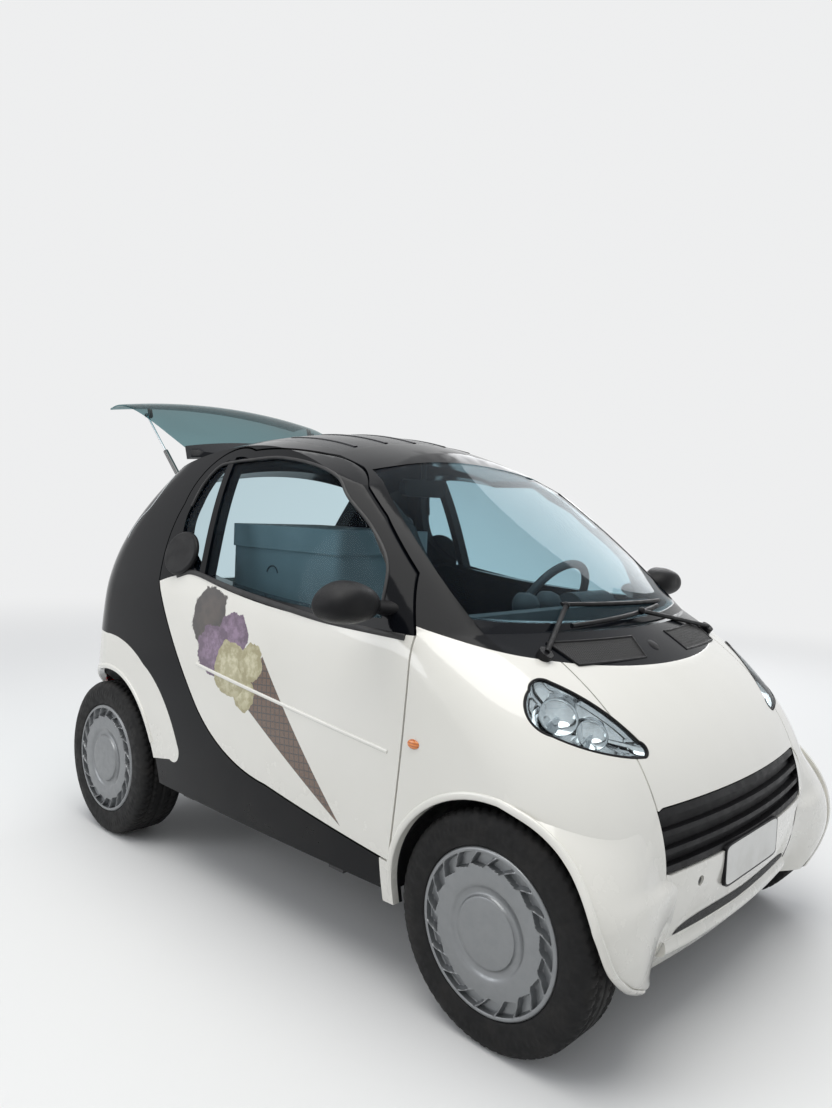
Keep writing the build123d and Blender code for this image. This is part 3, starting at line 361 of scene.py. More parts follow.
def metal(name, colour, roughness, brushed=False, metallic=1.0, mottle=0.5):
    """Bare or lacquered metal, darker and rougher in soft streaks."""
    f = Finish(name)
    streak = f.noise(40.0, 4.0, 0.6, stretch=(1.0, 12.0, 1.0) if brushed else None)
    base = f.mix(streak.ramp(0.3, 0.7) * mottle, colour, tuple(0.72 * c for c in colour))
    rough = roughness + streak.ramp(0.3, 0.7, -0.05, 0.10)
    shader = f.surface(Base_Color=base, Roughness=rough, Metallic=metallic, Normal=f.bump(streak, 0.0001))
    return f.done(shader)


def clear_glass(name, tint, tint_share, smear=0.02):
    """Thin clear pane: light passes tinted, and the pane mirrors more at a low angle."""
    f = Finish(name)
    film = f.noise(3.0, 4.0).ramp(0.45, 0.75) * smear
    through = f.node("ShaderNodeBsdfTransparent", values={"Color": tint})
    gloss = f.surface(Base_Color=tint_share, Roughness=0.02, IOR=1.5, Coat_Weight=0.0, Specular_IOR_Level=0.8)
    edge = f.node("ShaderNodeLayerWeight", values={"Blend": 0.5}, output="Facing")
    share = (edge ** 4.0 * 0.75 + film + 0.035).least(0.9)
    shader = f.node("ShaderNodeMixShader", values={0: share, 1: through, 2: gloss})
    return f.done(shader)


CHOCOLATE = ((0.016, 0.011, 0.010), (0.060, 0.042, 0.034))
BERRY = ((0.105, 0.058, 0.110), (0.26, 0.17, 0.27))
VANILLA = ((0.36, 0.32, 0.17), (0.66, 0.62, 0.42))
MELTED = ((0.34, 0.30, 0.15), (0.62, 0.58, 0.38))
# Scoops of the print: x, z, radius, colours
SCOOPS = (
    (-0.035, 0.690, 0.055, MELTED), (-0.262, 0.902, 0.092, CHOCOLATE), (-0.118, 0.855, 0.078, BERRY),
    (-0.215, 0.800, 0.082, BERRY), (-0.105, 0.752, 0.088, VANILLA), (-0.012, 0.782, 0.056, VANILLA),
)
CONE_TIP = (0.415, 0.402)
CONE_ALONG = (-0.775, 0.632)
CONE_LENGTH = 0.545
CONE_SLOPE = 0.158


def cone_print(f, base):
    """Ice cream cone lying aslant: a tapered waffle and six scoops, as distances in the car's side view."""
    x, _, z = f.xyz()
    x = x - SHIFT
    ahead, above = x - CONE_TIP[0], z - CONE_TIP[1]
    along = ahead * CONE_ALONG[0] + above * CONE_ALONG[1]
    aside = ahead * CONE_ALONG[1] + above * -CONE_ALONG[0]
    cone = (aside.abs() - along * CONE_SLOPE).ramp(-0.001, 0.001, 1.0, 0.0) * along.ramp(0.0, 0.004)
    cone = cone * along.ramp(CONE_LENGTH, CONE_LENGTH + 0.004, 1.0, 0.0)
    lines = [((diagonal * 34.0).fract() - 0.5).abs() for diagonal in (along + aside, along - aside)]
    waffle = f.mix(lines[0].least(lines[1]).ramp(0.05, 0.13), (0.035, 0.018, 0.010), (0.115, 0.060, 0.034))
    base = f.mix(cone, base, waffle)
    rough = (f.noise(16.0, 4.0, 0.62) - 0.5) * 0.060
    mottle = f.noise(38.0, 5.0, 0.65).ramp(0.38, 0.62)
    for cx, cz, r, (dark, light) in SCOOPS:
        away = ((x - cx) * (x - cx) + (z - cz) * (z - cz)) ** 0.5 + rough
        ball = f.mix((mottle * 0.7 + away.ramp(r * 0.3, r, 0.3, -0.35)).most(0.0), dark, light)
        base = f.mix(away.ramp(r - 0.0015, r + 0.0015, 1.0, 0.0), base, ball)
    return base


IVORY = ((0.80, 0.785, 0.735), (0.77, 0.755, 0.70))
WHITE = gloss_paint("panel_white", *IVORY, dust=0.05)
PRINTED = gloss_paint("printed_panel", *IVORY, dust=0.05, print_on=cone_print)
CELL = gloss_paint("cell_black", (0.002, 0.0025, 0.004), (0.004, 0.0045, 0.006), 0.10, 0.04, 0.02, 0.12)
ROOF = gloss_paint("roof_black", (0.003, 0.004, 0.006), (0.005, 0.006, 0.009), 0.18, 0.04, 0.0, 0.13)
TRIM = grained("trim_black", (0.006, 0.006, 0.007), (0.014, 0.014, 0.016), roughness=0.42, specular=0.2)
CABIN = grained("cabin_dark", (0.035, 0.036, 0.04), (0.06, 0.06, 0.065), 700.0, 0.62)
CHEST = grained("chest_grey", (0.20, 0.235, 0.25), (0.27, 0.30, 0.31), 420.0, 0.5, 0.0004)
UNDER = grained("steel_dark", (0.035, 0.035, 0.037), (0.075, 0.07, 0.065), 260.0, 0.6, 0.0006)
ENGINE = metal("engine_metal", (0.42, 0.42, 0.43), 0.5)
PIPE = metal("exhaust_steel", (0.36, 0.34, 0.32), 0.42, brushed=True)
STRUT = gloss_paint("strut_black", (0.02, 0.02, 0.02), (0.03, 0.03, 0.03), roughness=0.3, dust=0.0)
ROD = metal("strut_rod_chrome", (0.6, 0.6, 0.62), 0.18)
SILVER = metal("wheel_silver", (0.255, 0.264, 0.272), 0.34, metallic=0.75, mottle=0.12)
GLASS = clear_glass("clear_glass", (0.80, 0.90, 0.93), (0.012, 0.018, 0.03))
TINT = clear_glass("tinted_glass", (0.45, 0.58, 0.60), (0.01, 0.02, 0.022), smear=0.05)
LAMP = clear_glass("lamp_clear", (0.93, 0.96, 0.97), (0.03, 0.035, 0.04), smear=0.01)
CHROME = metal("bright_reflector", (0.86, 0.87, 0.88), 0.07)
SEAL = grained("rubber_seal", (0.012, 0.012, 0.013), (0.03, 0.03, 0.03), 500.0, 0.5, 0.0001)
# Painted reflection: a pale grey that stands for the sky mirrored on the hatch's edge
PAINTED_REFLECTION_GREY = grained("painted_reflection_grey", (0.52, 0.54, 0.55), (0.6, 0.61, 0.62), 500.0, 0.45, 0.0001)


def lens(name, colour, deep, ribs):
    """Coloured lens: flutes across it and a glossy skin."""
    f = Finish(name)
    flute = (f.xyz()[2] * ribs).sine() * 0.5 + 0.5
    shader = f.surface(
        Base_Color=f.mix(flute, deep, colour), Roughness=0.12, Coat_Weight=1.0, Coat_Roughness=0.03,
        Normal=f.bump(flute, 0.0005),
    )
    return f.done(shader)


AMBER = lens("amber_lens", (0.85, 0.26, 0.03), (0.50, 0.11, 0.01), 900.0)
RED = lens("red_lens", (0.55, 0.02, 0.02), (0.22, 0.005, 0.008), 420.0)
BULB = lens("bulb_glass", (0.75, 0.78, 0.80), (0.55, 0.58, 0.62), 1400.0)
PLATE = gloss_paint("blank_plate", (0.78, 0.78, 0.76), (0.72, 0.72, 0.70), 0.35, 0.3, 0.25)


def mesh_grille():
    """Black plastic mesh: square holes in rows, by the sawtooth of y and z, the holes painted near black as
    shade in the openings.
    """
    f = Finish("mesh_grille")
    y, z = f.xyz()[1:]
    a = ((y + z * 0.6) * 150.0).fract() - 0.5
    b = ((y - z * 0.6) * 150.0).fract() - 0.5
    bar = a.abs().most(b.abs()).ramp(0.30, 0.40)
    # Painted shade: the holes are darker than the bars, standing for the shade inside the openings
    base = f.mix(bar, (0.002, 0.002, 0.002), (0.016, 0.016, 0.017))
    return f.done(f.surface(Base_Color=base, Roughness=bar.ramp(0, 1, 0.9, 0.45), Normal=f.bump(bar, 0.0015)))


MESH = mesh_grille()


def tyre_rubber():
    """Matt rubber with paler dust in patches."""
    f = Finish("tyre_rubber")
    dusty = f.noise(14.0, 5.0, 0.65).ramp(0.4, 0.75)
    base = f.mix(dusty * 0.5, (0.007, 0.007, 0.0075), (0.024, 0.022, 0.020))
    shader = f.surface(
        Base_Color=base, Roughness=0.62 + f.noise(50.0).ramp(0.3, 0.7, -0.05, 0.1), Specular_IOR_Level=0.25,
        Normal=f.bump(f.noise(420.0, 3.0), 0.0003),
    )
    return f.done(shader)


RUBBER = tyre_rubber()


def build_mesh(name, points, faces):
    """Mesh from an array of points and an array of faces with the same number of corners."""
    mesh = bpy.data.meshes.new(name)
    points = np.asarray(points, np.float32).reshape(-1, 3)
    faces = np.asarray(faces, np.int32)
    corners = faces.shape[1]
    mesh.vertices.add(len(points))
    mesh.vertices.foreach_set("co", points.ravel())
    mesh.loops.add(faces.size)
    mesh.loops.foreach_set("vertex_index", faces.ravel())
    mesh.polygons.add(len(faces))
    mesh.polygons.foreach_set("loop_start", np.arange(0, faces.size, corners, dtype=np.int32))
    mesh.polygons.foreach_set("use_smooth", np.full(len(faces), True))
    mesh.update(calc_edges=True)
    mesh.validate()
    return mesh


def show(name, mesh, body, material, sharp, replaces):
    """Object at the origin that rides on a body, with the material in its one slot."""
    piece = bpy.data.objects.new(name, mesh)
    bpy.context.scene.collection.objects.link(piece)
    mesh.materials.append(material)
    if sharp is not None:
        mesh.set_sharp_from_angle(angle=radians(sharp))
    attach(piece, body)
    if replaces:
        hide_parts(*replaces)
    return piece


MERGE_STEP = 1e-5


def merged(node):
    """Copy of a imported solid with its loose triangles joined: corners within 10 microns become one."""
    source = frame["nodes"][node].data
    points = np.zeros(len(source.vertices) * 3, np.float32)
    source.vertices.foreach_get("co", points)
    points = points.reshape(-1, 3)
    source.calc_loop_triangles()
    faces = np.zeros(len(source.loop_triangles) * 3, np.int32)
    source.loop_triangles.foreach_get("vertices", faces)
    keys = np.round(points / MERGE_STEP).astype(np.int64)
    _, first, back = np.unique(keys, axis=0, return_index=True, return_inverse=True)
    faces = back.reshape(-1)[faces].reshape(-1, 3)
    points = points[first]
    real = (faces[:, 0] != faces[:, 1]) & (faces[:, 1] != faces[:, 2]) & (faces[:, 0] != faces[:, 2])
    return points, faces[real]


def quads(rows, columns, wrap_rows=False, wrap_columns=False):
    """Four corners of every cell of a grid whose points run row by row."""
    i = np.arange(rows if wrap_rows else rows - 1)[:, None]
    j = np.arange(columns if wrap_columns else columns - 1)[None, :]
    i2, j2 = (i + 1) % rows, (j + 1) % columns
    corners = (i * columns + j, i2 * columns + j, i2 * columns + j2, i * columns + j2)
    return np.stack(np.broadcast_arrays(*corners), -1).reshape(-1, 4)


def volume(points, faces):
    """Six times the volume inside a closed shape of four-cornered faces, negative where they face inwards."""
    a, b, c, d = (points[faces[:, k]] for k in range(4))
    return (np.cross(a, b) * c).sum() + (np.cross(a, c) * d).sum()


def move(points):
    """From the car's own frame to the model's."""
    return np.asarray(points, float).reshape(-1, 3) + np.array((SHIFT, 0.0, 0.0))


def through(points, count):
    """Even points on a smooth curve through the given ones: cubic blends with centred slopes."""
    p = np.asarray(points, float)
    slope = np.gradient(p, axis=0)
    t = np.linspace(0, len(p) - 1, 2000)
    k = np.minimum(t.astype(int), len(p) - 2)
    u = (t - k)[:, None]
    h = 2 * u ** 3 - 3 * u ** 2
    fine = (1 + h) * p[k] - h * p[k + 1]
    fine = fine + (u ** 3 - 2 * u ** 2 + u) * slope[k] + (u ** 3 - u ** 2) * slope[k + 1]
    length = np.concatenate([[0], np.cumsum(np.linalg.norm(np.diff(fine, axis=0), axis=1))])
    at = np.linspace(0, length[-1], count)
    return np.stack([np.interp(at, length, column) for column in fine.T], 1)


def strip(path, normal, section):
    """Section of (aside, out) points carried along a path: out is along the surface's normal."""
    aside = unit(np.cross(normal, unit(np.gradient(path, axis=0))))
    points = path[:, None] + section[None, :, :1] * aside[:, None] + section[None, :, 1:] * normal[:, None]
    return points.reshape(-1, 3), quads(*points.shape[:2], False, True)


def capped(points, faces, rings):
    """Rings closed, each by a fan round its middle, written as squares with a doubled corner."""
    ends = []
    for ring in rings:
        points = np.vstack([points, points[ring].mean(0)])
        centre = np.full(len(ring), len(points) - 1)
        ends.append(np.stack([ring, np.roll(ring, -1), centre, centre], 1))
    return points, np.vstack([faces] + ends)


def bar(path, normal, section):
    """Section carried along a path, with both ends closed."""
    points, faces = strip(path, normal, section)
    end = np.arange(len(section))
    return capped(points, faces, (end[::-1], len(points) - len(section) + end))


def bead(path, normal, width, height, sides=10, sunk=0.004):
    """Low rounded strip on a surface: half an oval above it and a flat foot below."""
    angle = np.linspace(0, pi, sides)
    top = np.stack([width / 2 * np.cos(angle), height * np.sin(angle)], 1)
    return bar(path, normal, np.vstack([top, [(-width / 2, -sunk), (width / 2, -sunk)]]))


def join(*shapes):
    """Several (points, faces) as one."""
    points, faces, base = [], [], 0
    for p, f in shapes:
        points.append(p)
        faces.append(np.asarray(f) + base)
        base += len(p)
    return np.vstack(points), np.vstack(faces)


def mirrored(shape):
    points, faces = shape
    return points * np.array((1.0, -1.0, 1.0)), faces[:, ::-1]


def both(shape):
    """A shape and its mirror image on the car's other side."""
    return join(shape, mirrored(shape))


def squares_mesh(name, shape):
    """Mesh of a (points, faces) shape; a square whose last corner is doubled becomes a triangle."""
    points, faces = shape
    mesh = bpy.data.meshes.new(name)
    twice = faces[:, 2] == faces[:, 3]
    order = [tuple(f[:3]) if t else tuple(f) for f, t in zip(faces.tolist(), twice.tolist())]
    mesh.from_pydata(move(points).tolist(), [], order)
    mesh.polygons.foreach_set("use_smooth", np.full(len(order), True))
    mesh.update()
    return mesh


def add(name, shape, body, material, sharp=40.0, replaces=()):
    return show(name, squares_mesh(name, shape), body, material, sharp, replaces)


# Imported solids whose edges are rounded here, and by how much
ROUNDED = {"cooler_tub": 0.005, "cooler_lid": 0.009}


def skin(node, material):
    """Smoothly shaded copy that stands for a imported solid."""
    name = node + "_skin"
    body = frame["nodes"][node]["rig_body"]
    piece = show(name, build_mesh(name, *merged(node)), body, material, 28.0, (node,))
    if node in ROUNDED:
        edge = piece.modifiers.new("rounded_edges", "BEVEL")
        edge.width, edge.segments = ROUNDED[node], 3
        edge.limit_method, edge.angle_limit = "ANGLE", radians(40)


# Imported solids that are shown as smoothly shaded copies, by material
for material, nodes in (
    (WHITE, ("service_cover", "front_wings", "front_bumper", "rear_wings", "rear_bumper", "tailgate")),
    (PRINTED, ("door_skin_left", "door_skin_right")),
    (CELL, ("safety_cell", "door_frame_left", "door_frame_right")),
    (ROOF, ("roof_panel", "scuttle", "hatch_panel")),
    (GLASS, ("windscreen", "door_glass_left", "door_glass_right")),
    (TINT, ("hatch_glass",)),
    (TRIM, ("front_grille", "front_liners", "rear_liners", "wipers", "interior_mirror")),
    (TRIM, ("door_handle_left", "door_handle_right")),
    (CABIN, ("dashboard", "steering_wheel")),
    (CHEST, ("cooler_tub", "cooler_lid")),
    (PIPE, ("exhaust",)),
    (UNDER, ("rear_axle",)),
    (RED, ("rear_lamps",)),
    (STRUT, ("strut_tube_left", "strut_tube_right")),
    (ROD, ("strut_rod_left", "strut_rod_right")),
):
    for node in nodes:
        skin(node, material)
skin("body_fittings", UNDER)

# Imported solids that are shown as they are
for node, material in (
    ("front_carrier", TRIM), ("floor_pan", UNDER), ("front_axle", UNDER), ("engine_block", ENGINE),
    ("hatch_brackets", TRIM), ("knuckle_left", UNDER), ("knuckle_right", UNDER),
):
    data = frame["nodes"][node].data
    data.materials.clear()
    data.materials.append(material)


def arc_through(a, m, b, count):
    """Points on the circle through three, from a by m to b, worked out in the complex plane."""
    a, m, b = (complex(*p) for p in (a, m, b))
    ratio = (b - a) / (m - a)
    centre = a + (m - a) * (ratio - abs(ratio) ** 2) / (2j * ratio.imag)
    start, middle, end = (np.angle(p - centre) for p in (a, m, b))
    turn = (end - start) % (2 * pi)
    if (middle - start) % (2 * pi) > turn:
        turn -= 2 * pi
    points = centre + abs(a - centre) * np.exp(1j * (start + turn * np.linspace(0, 1, count, endpoint=False)))
    return np.stack([points.real, points.imag], 1)


def ring_of(points, count):
    """Closed outline of straight runs and arcs; a point with a third number is the middle of an arc."""
    parts, k, n = [], 0, len(points)
    while k < n:
        here, after = points[k], points[(k + 1) % n]
        if len(after) == 3:
            parts.append(arc_through(here[:2], after[:2], points[(k + 2) % n][:2], count))
            k += 2
        else:
            t = np.linspace(0, 1, count, endpoint=False)[:, None]
            parts.append((1 - t) * np.array(here[:2]) + t * np.array(after[:2]))
            k += 1
    return np.vstack(parts)


def filled(rings):
    """Rings of equal count joined in order, the last closed by a fan to its middle."""
    count = len(rings[0])
    last = len(rings) * count - count + np.arange(count)
    return capped(np.vstack(rings), quads(len(rings), count, False, True), [last])


def facing(shape, direction):
    """Faces turned so that their mean normal runs along a direction."""
    points, faces = shape
    a, b, c, d = (points[faces[:, k]] for k in range(4))
    normal = np.cross(c - a, d - b).sum(0)
    return points, faces if normal @ np.asarray(direction) > 0 else faces[:, [2, 1, 0, 3]]


def outward_shape(shape, centre):
    """Closed shape with its faces turned outwards, whichever way they ran."""
    points, faces = shape
    return points, faces if volume(points - np.asarray(centre), faces) > 0 else faces[:, [2, 1, 0, 3]]


def smooth_step(x, low, high):
    t = np.clip((x - low) / (high - low), 0, 1)
    return t * t * (3 - 2 * t)


def outline(power=1.0, count=64):
    """Closed outline within one unit: cosine and sine to a power, a circle at 1 and squarer below."""
    angle = 2 * pi * np.arange(count) / count
    circle = np.stack([np.cos(angle), np.sin(angle)], 1)
    return np.sign(circle) * np.abs(circle) ** power


def cross_ring(x, middle, half, flat):
    """Outline scaled to half sizes about a middle (y, z), in the plane across the car at x."""
    return np.column_stack([np.full(len(flat), x), np.asarray(middle) + np.asarray(half) * flat])


def level_ring(z, middle, half, flat):
    """Outline scaled to half sizes about a middle (x, y), in the level plane at z."""
    return np.column_stack([np.asarray(middle) + np.asarray(half) * flat, np.full(len(flat), z)])


def turned_shape(profile, centre, side, count, change):
    """Closed profile of (radius, outward) points turned about a wheel's axis and changed by angle."""
    angle = 2 * pi * np.arange(count)[:, None] / count
    x, y, z = centre
    radius, out = change(*(np.repeat(profile[None, :, k], count, 0) for k in (0, 1)), angle)
    points = np.stack([x + radius * np.cos(angle), (y + out) * side, z + radius * np.sin(angle)], -1)
    points = points.reshape(-1, 3)
    faces = quads(count, len(profile), True, True)
    return points, faces if volume(points - np.array((x, y * side, z)), faces) > 0 else faces[:, ::-1]


TREAD_CUTS, TREAD_DEPTH = 66, 0.0065
WALL_RIBS, RIB_HEIGHT = 90, 0.0006
POCKETS, POCKET_DEPTH, POCKET_SLANT = 20, 0.0165, 19.0


def tyre(axle, side_name, side):
    """Tyre: a turned profile with three grooves round it and slanted cuts across the shoulders."""
    x, y, r, w = AXLES[axle]
    h = w / 2
    tread = np.linspace(-h + 0.022, h - 0.022, 34)
    crown = np.stack([r - 0.0016 * (tread / h) ** 4, tread], 1)
    inner = through([
        (0.1905, -(h - 0.009)), (0.206, -h + 0.003), (0.232, -h), (0.250, -h + 0.001),
        (r - 0.020, -h + 0.004), (r - 0.006, -h + 0.012),
    ], 18)
    outer = through([
        (r - 0.006, h - 0.012), (r - 0.020, h - 0.004), (0.250, h - 0.001), (0.232, h),
        (0.2015, h - 0.004), (0.2013, h - 0.0152), (0.1905, h - 0.0156),
    ], 22)
    profile = np.vstack([inner, crown, outer])

    def change(radius, out, angle):
        on_tread = smooth_step(radius, r - 0.010, r - 0.004)
        lanes = sum(1 - smooth_step(np.abs(out - c * h), 0.0028, 0.0050) for c in (-0.45, 0.0, 0.45))
        pitch = (angle * TREAD_CUTS / (2 * pi) + out * 26) % 1.0
        shoulder = smooth_step(np.abs(out), 0.24 * h, 0.30 * h)
        cuts = (1 - smooth_step(np.abs(pitch - 0.5), 0.07, 0.12)) * shoulder
        radius = radius - TREAD_DEPTH * on_tread * np.clip(lanes + 0.8 * cuts, 0, 1)
        on_wall = smooth_step(radius, 0.236, 0.241) * (1 - smooth_step(radius, 0.250, 0.254))
        return radius, out + RIB_HEIGHT * np.cos(angle * WALL_RIBS) * on_wall * np.sign(out)

    place = axle + "_" + side_name
    shape = turned_shape(profile, (x, y, r), side, 396, change)
    add("tyre_" + place + "_tread", shape, "rolling_" + place, RUBBER, None, ("tyre_" + place,))


def wheel(axle, side_name, side):
    """Wheel with its cover: a turned face with twenty saw-tooth pockets parted by slanted ribs."""
    x, y, r, w = AXLES[axle]
    h = w / 2
    runs = ((0.0006, 0.078, 8), (0.082, 0.108, 12), (0.114, 0.142, 5), (0.146, 0.190, 24), (0.1925, 0.2, 5))
    face_radius = np.concatenate([np.linspace(*run) for run in runs])
    # Radius, and how far the face stands out there
    height = through([
        (0.0, 0.003), (0.05, 0.0027), (0.0815, 0.0014), (0.0845, -0.0035), (0.092, -0.0090),
        (0.104, -0.0068), (0.112, -0.0024), (0.135, -0.0014), (0.160, -0.0024), (0.186, -0.0012),
        (0.194, -0.0006), (0.1985, -0.0040), (0.2, -0.0075),
    ], 400)
    face = np.stack([face_radius, h + np.interp(face_radius, height[:, 0], height[:, 1])], 1)
    back = np.array([
        (0.2, h - 0.008), (0.2, h - 0.0150), (0.1905, h - 0.0150), (0.1905, -(h - 0.009)),
        (0.1845, -(h - 0.009)), (0.1845, 0.036), (0.046, 0.042), (0.046, 0.020),
        (0.0201, 0.020), (0.0201, 0.053), (0.0006, 0.053),
    ])
    profile = np.vstack([face, back])

    def change(radius, out, angle):
        front = out > h - 0.012
        turn = angle * POCKETS / (2 * pi) * -side
        tooth = (turn + (radius - 0.168) * POCKET_SLANT) % 1.0
        from_rib = np.minimum(tooth, 1 - tooth)
        inner_edge = 0.1535 + 0.0085 * tooth ** 1.5
        pocket = smooth_step(radius, inner_edge - 0.0012, inner_edge + 0.0012)
        pocket = pocket * (1 - smooth_step(radius, 0.1855, 0.1885))
        rib = 1 - smooth_step(from_rib, 0.055, 0.105)
        lift = 0.0016 * (1 - smooth_step(from_rib, 0.02, 0.07)) * pocket
        pressed = front & (radius > 0.14) & (radius < 0.1925)
        return radius, np.where(pressed, out - POCKET_DEPTH * pocket * (1 - rib) + lift, out)

    place = axle + "_" + side_name
    shape = turned_shape(profile, (x, y, r), side, 480, change)
    add("wheel_" + place + "_cover", shape, "rolling_" + place, SILVER, 32.0, ("wheel_" + place,))


for axle in AXLES:
    for side_name, side in SIDES:
        tyre(axle, side_name, side)
        wheel(axle, side_name, side)

# Left headlamp: its place, the way it looks, the way along it, and its outline in metres
LAMP_AT = np.array((1.010, 0.500, 0.765))
LAMP_OUT = unit((0.62, 0.46, 0.64))
LAMP_UP = unit(np.cross(LAMP_OUT, (0.80, -0.50, -0.33)))
LAMP_ALONG = np.cross(LAMP_UP, LAMP_OUT)
LAMP_RING = ring_of((
    (-0.150, -0.010), (-0.128, 0.062, 1), (-0.060, 0.082), (0.060, 0.062, 1), (0.165, 0.0),
    (0.168, -0.032, 1), (0.146, -0.036), (0.0, -0.062, 1), (-0.112, -0.062), (-0.146, -0.046, 1),
), 16)


def lamp_place(flat):
    return LAMP_AT + flat[:, :1] * LAMP_ALONG + flat[:, 1:] * LAMP_UP


def lamp_rings(scales, sinks, centre=(0.0, 0.004)):
    """The lamp's outline drawn in towards a middle by scales and sunk under the body by depths."""
    rings = []
    for scale, sink in zip(scales, sinks):
        flat = np.array(centre) + scale * (LAMP_RING - np.array(centre))
        rings.append(onto(lamp_place(flat), LAMP_OUT) - sink * LAMP_OUT)
    return rings


def headlamps():
    """Clear cover on the body's surface, dark seal, and a bowl behind with three reflectors and bulbs."""
    scales = (0.985, 0.9, 0.75, 0.55, 0.35, 0.18)
    cover = facing(filled(lamp_rings(scales, (0.0015, 0.0005, 0, 0, 0, 0))), LAMP_OUT)
    lining = facing(filled(lamp_rings(scales, (0.0045, 0.0035, 0.003, 0.003, 0.003, 0.003))), -LAMP_OUT)
    add("lamp_covers", both(join(cover, lining)), "root", LAMP, 60.0, ("headlamps",))
    ring = lamp_rings((0.992,), (0.0,))[0]
    seal_path = np.vstack([ring, ring[:1]])
    seal = bead(seal_path, np.broadcast_to(LAMP_OUT, seal_path.shape), 0.0065, 0.0016, 8, 0.010)
    add("lamp_seals", both(seal), "root", TRIM)
    steps = np.linspace(0, 1, 14)
    bowl = lamp_rings(0.975 - 0.80 * steps, 0.012 + 0.062 * steps ** 0.7, (-0.02, 0.0))
    add("lamp_bowls", both(facing(filled(bowl), LAMP_OUT)), "root", CHROME, 60.0)
    reflectors, bulbs = [], []
    circle = outline(count=48) @ np.array((LAMP_ALONG, LAMP_UP))
    for centre, size, sink in (
        ((-0.058, 0.006), 0.050, 0.046), ((0.034, 0.002), 0.040, 0.050), ((0.108, -0.012), 0.024, 0.052),
    ):
        base = onto(lamp_place(np.array([centre])), LAMP_OUT)[0] - sink * LAMP_OUT
        rings = [
            base + size * q * circle + (0.030 * q ** 2 - 0.018) * size / 0.05 * LAMP_OUT
            for q in np.linspace(1.0, 0.08, 12)
        ]
        reflectors.append(facing(filled([rings[0] + 0.003 * LAMP_OUT] + rings), LAMP_OUT))
        globe = [
            base + size * 0.17 * np.sqrt(max(1 - t * t, 0.0004)) * circle + (0.020 * t - 0.010) * LAMP_OUT
            for t in np.linspace(-0.3, 1, 9)
        ]
        bulbs.append(facing(filled(globe), LAMP_OUT))
    add("lamp_reflectors", both(join(*reflectors)), "root", CHROME, 50.0)
    add("lamp_bulbs", both(join(*bulbs)), "root", BULB, 50.0)


headlamps()


def placed_path(points):
    """Points carried out of the car's right side onto the body, with the body's normals there."""
    path = onto(points, (0.0, -1.0, 0.0))
    return path, surface_normal(path)


def side_strip(name, places, width, height, body, material, count=90):
    """Rounded strip along a side-view line (x, z) on both sides of the car, one piece for each side."""
    for side_name, side in SIDES:
        path, normal = placed_path(through([(x, -0.5, z) for x, z in places], count))
        shape = bead(path, normal, width, height)
        shape = shape if side < 0 else mirrored(shape)
        add(name + "_" + side_name, shape, body.format(side_name), material, 50.0)


side_strip("door_crease", (
    (-0.300, 0.7395), (-0.1, 0.7180), (0.15, 0.6925), (0.35, 0.6720), (0.585, 0.6480),
), 0.011, 0.0030, "door_{}", WHITE)
side_strip("belt_seal", (
    (-0.505, 1.012), (-0.416, 1.030), (-0.25, 1.0085), (-0.118, 0.992), (0.08, 0.972), (0.286, 0.953),
    (0.45, 0.9475), (0.600, 0.944),
), 0.017, 0.0045, "door_{}", SEAL)
side_strip("window_seal", (
    (-0.548, 1.254), (-0.522, 1.338), (-0.470, 1.398), (-0.390, 1.413), (-0.300, 1.4200), (-0.150, 1.4260),
    (0.020, 1.4060), (0.160, 1.3680), (0.248, 1.3020), (0.373, 1.2160), (0.474, 1.1140), (0.505, 0.990),
), 0.010, 0.0040, "door_{}", SEAL, 140)
# Pale strip along the hatch's edge: a painted reflection of the sky on the frame
side_strip("hatch_edge_painted_reflection", (
    (-0.945, 1.12), (-0.938, 1.150), (-0.890, 1.200), (-0.834, 1.246), (-0.790, 1.315), (-0.766, 1.370),
), 0.005, 0.0022, "root", PAINTED_REFLECTION_GREY, 60)


def face_tree(*nodes):
    """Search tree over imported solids' faces, in the car's own frame."""
    points, faces, count = [], [], 0
    for node in nodes:
        p, f = merged(node)
        points.append(np.asarray(p) - np.array((SHIFT, 0, 0)))
        faces.append(np.asarray(f) + count)
        count += len(p)
    return BVHTree.FromPolygons(np.vstack(points).tolist(), np.vstack(faces).tolist())


def laid(tree, points, direction, lift=0.0):
    """Points moved along a direction onto the faces met first from outside, then raised by lift."""
    direction = Vector(direction).normalized()
    placed = []
    for point in points:
        found = tree.ray_cast(Vector(point) + 0.5 * direction, -direction, 1.0)
        placed.append(tuple((found[0] if found[0] else Vector(point)) + lift * direction))
    return np.array(placed)


NOSE_FACES = face_tree("front_bumper", "front_wings", "service_cover")


# Lip of the front arch ahead of the wheel: heights, half widths there, and radius about the axle
LIP_HEIGHTS = (0.200, 0.225, 0.262, 0.309, 0.370, 0.440, 0.510, 0.600, 0.700)
LIP_HALF_WIDTHS = (0.520, 0.575, 0.632, 0.682, 0.710, 0.728, 0.738, 0.744, 0.746)
LIP_RADIUS = 0.3145
CORNER_MIDDLE = np.array((0.95, 0.30))


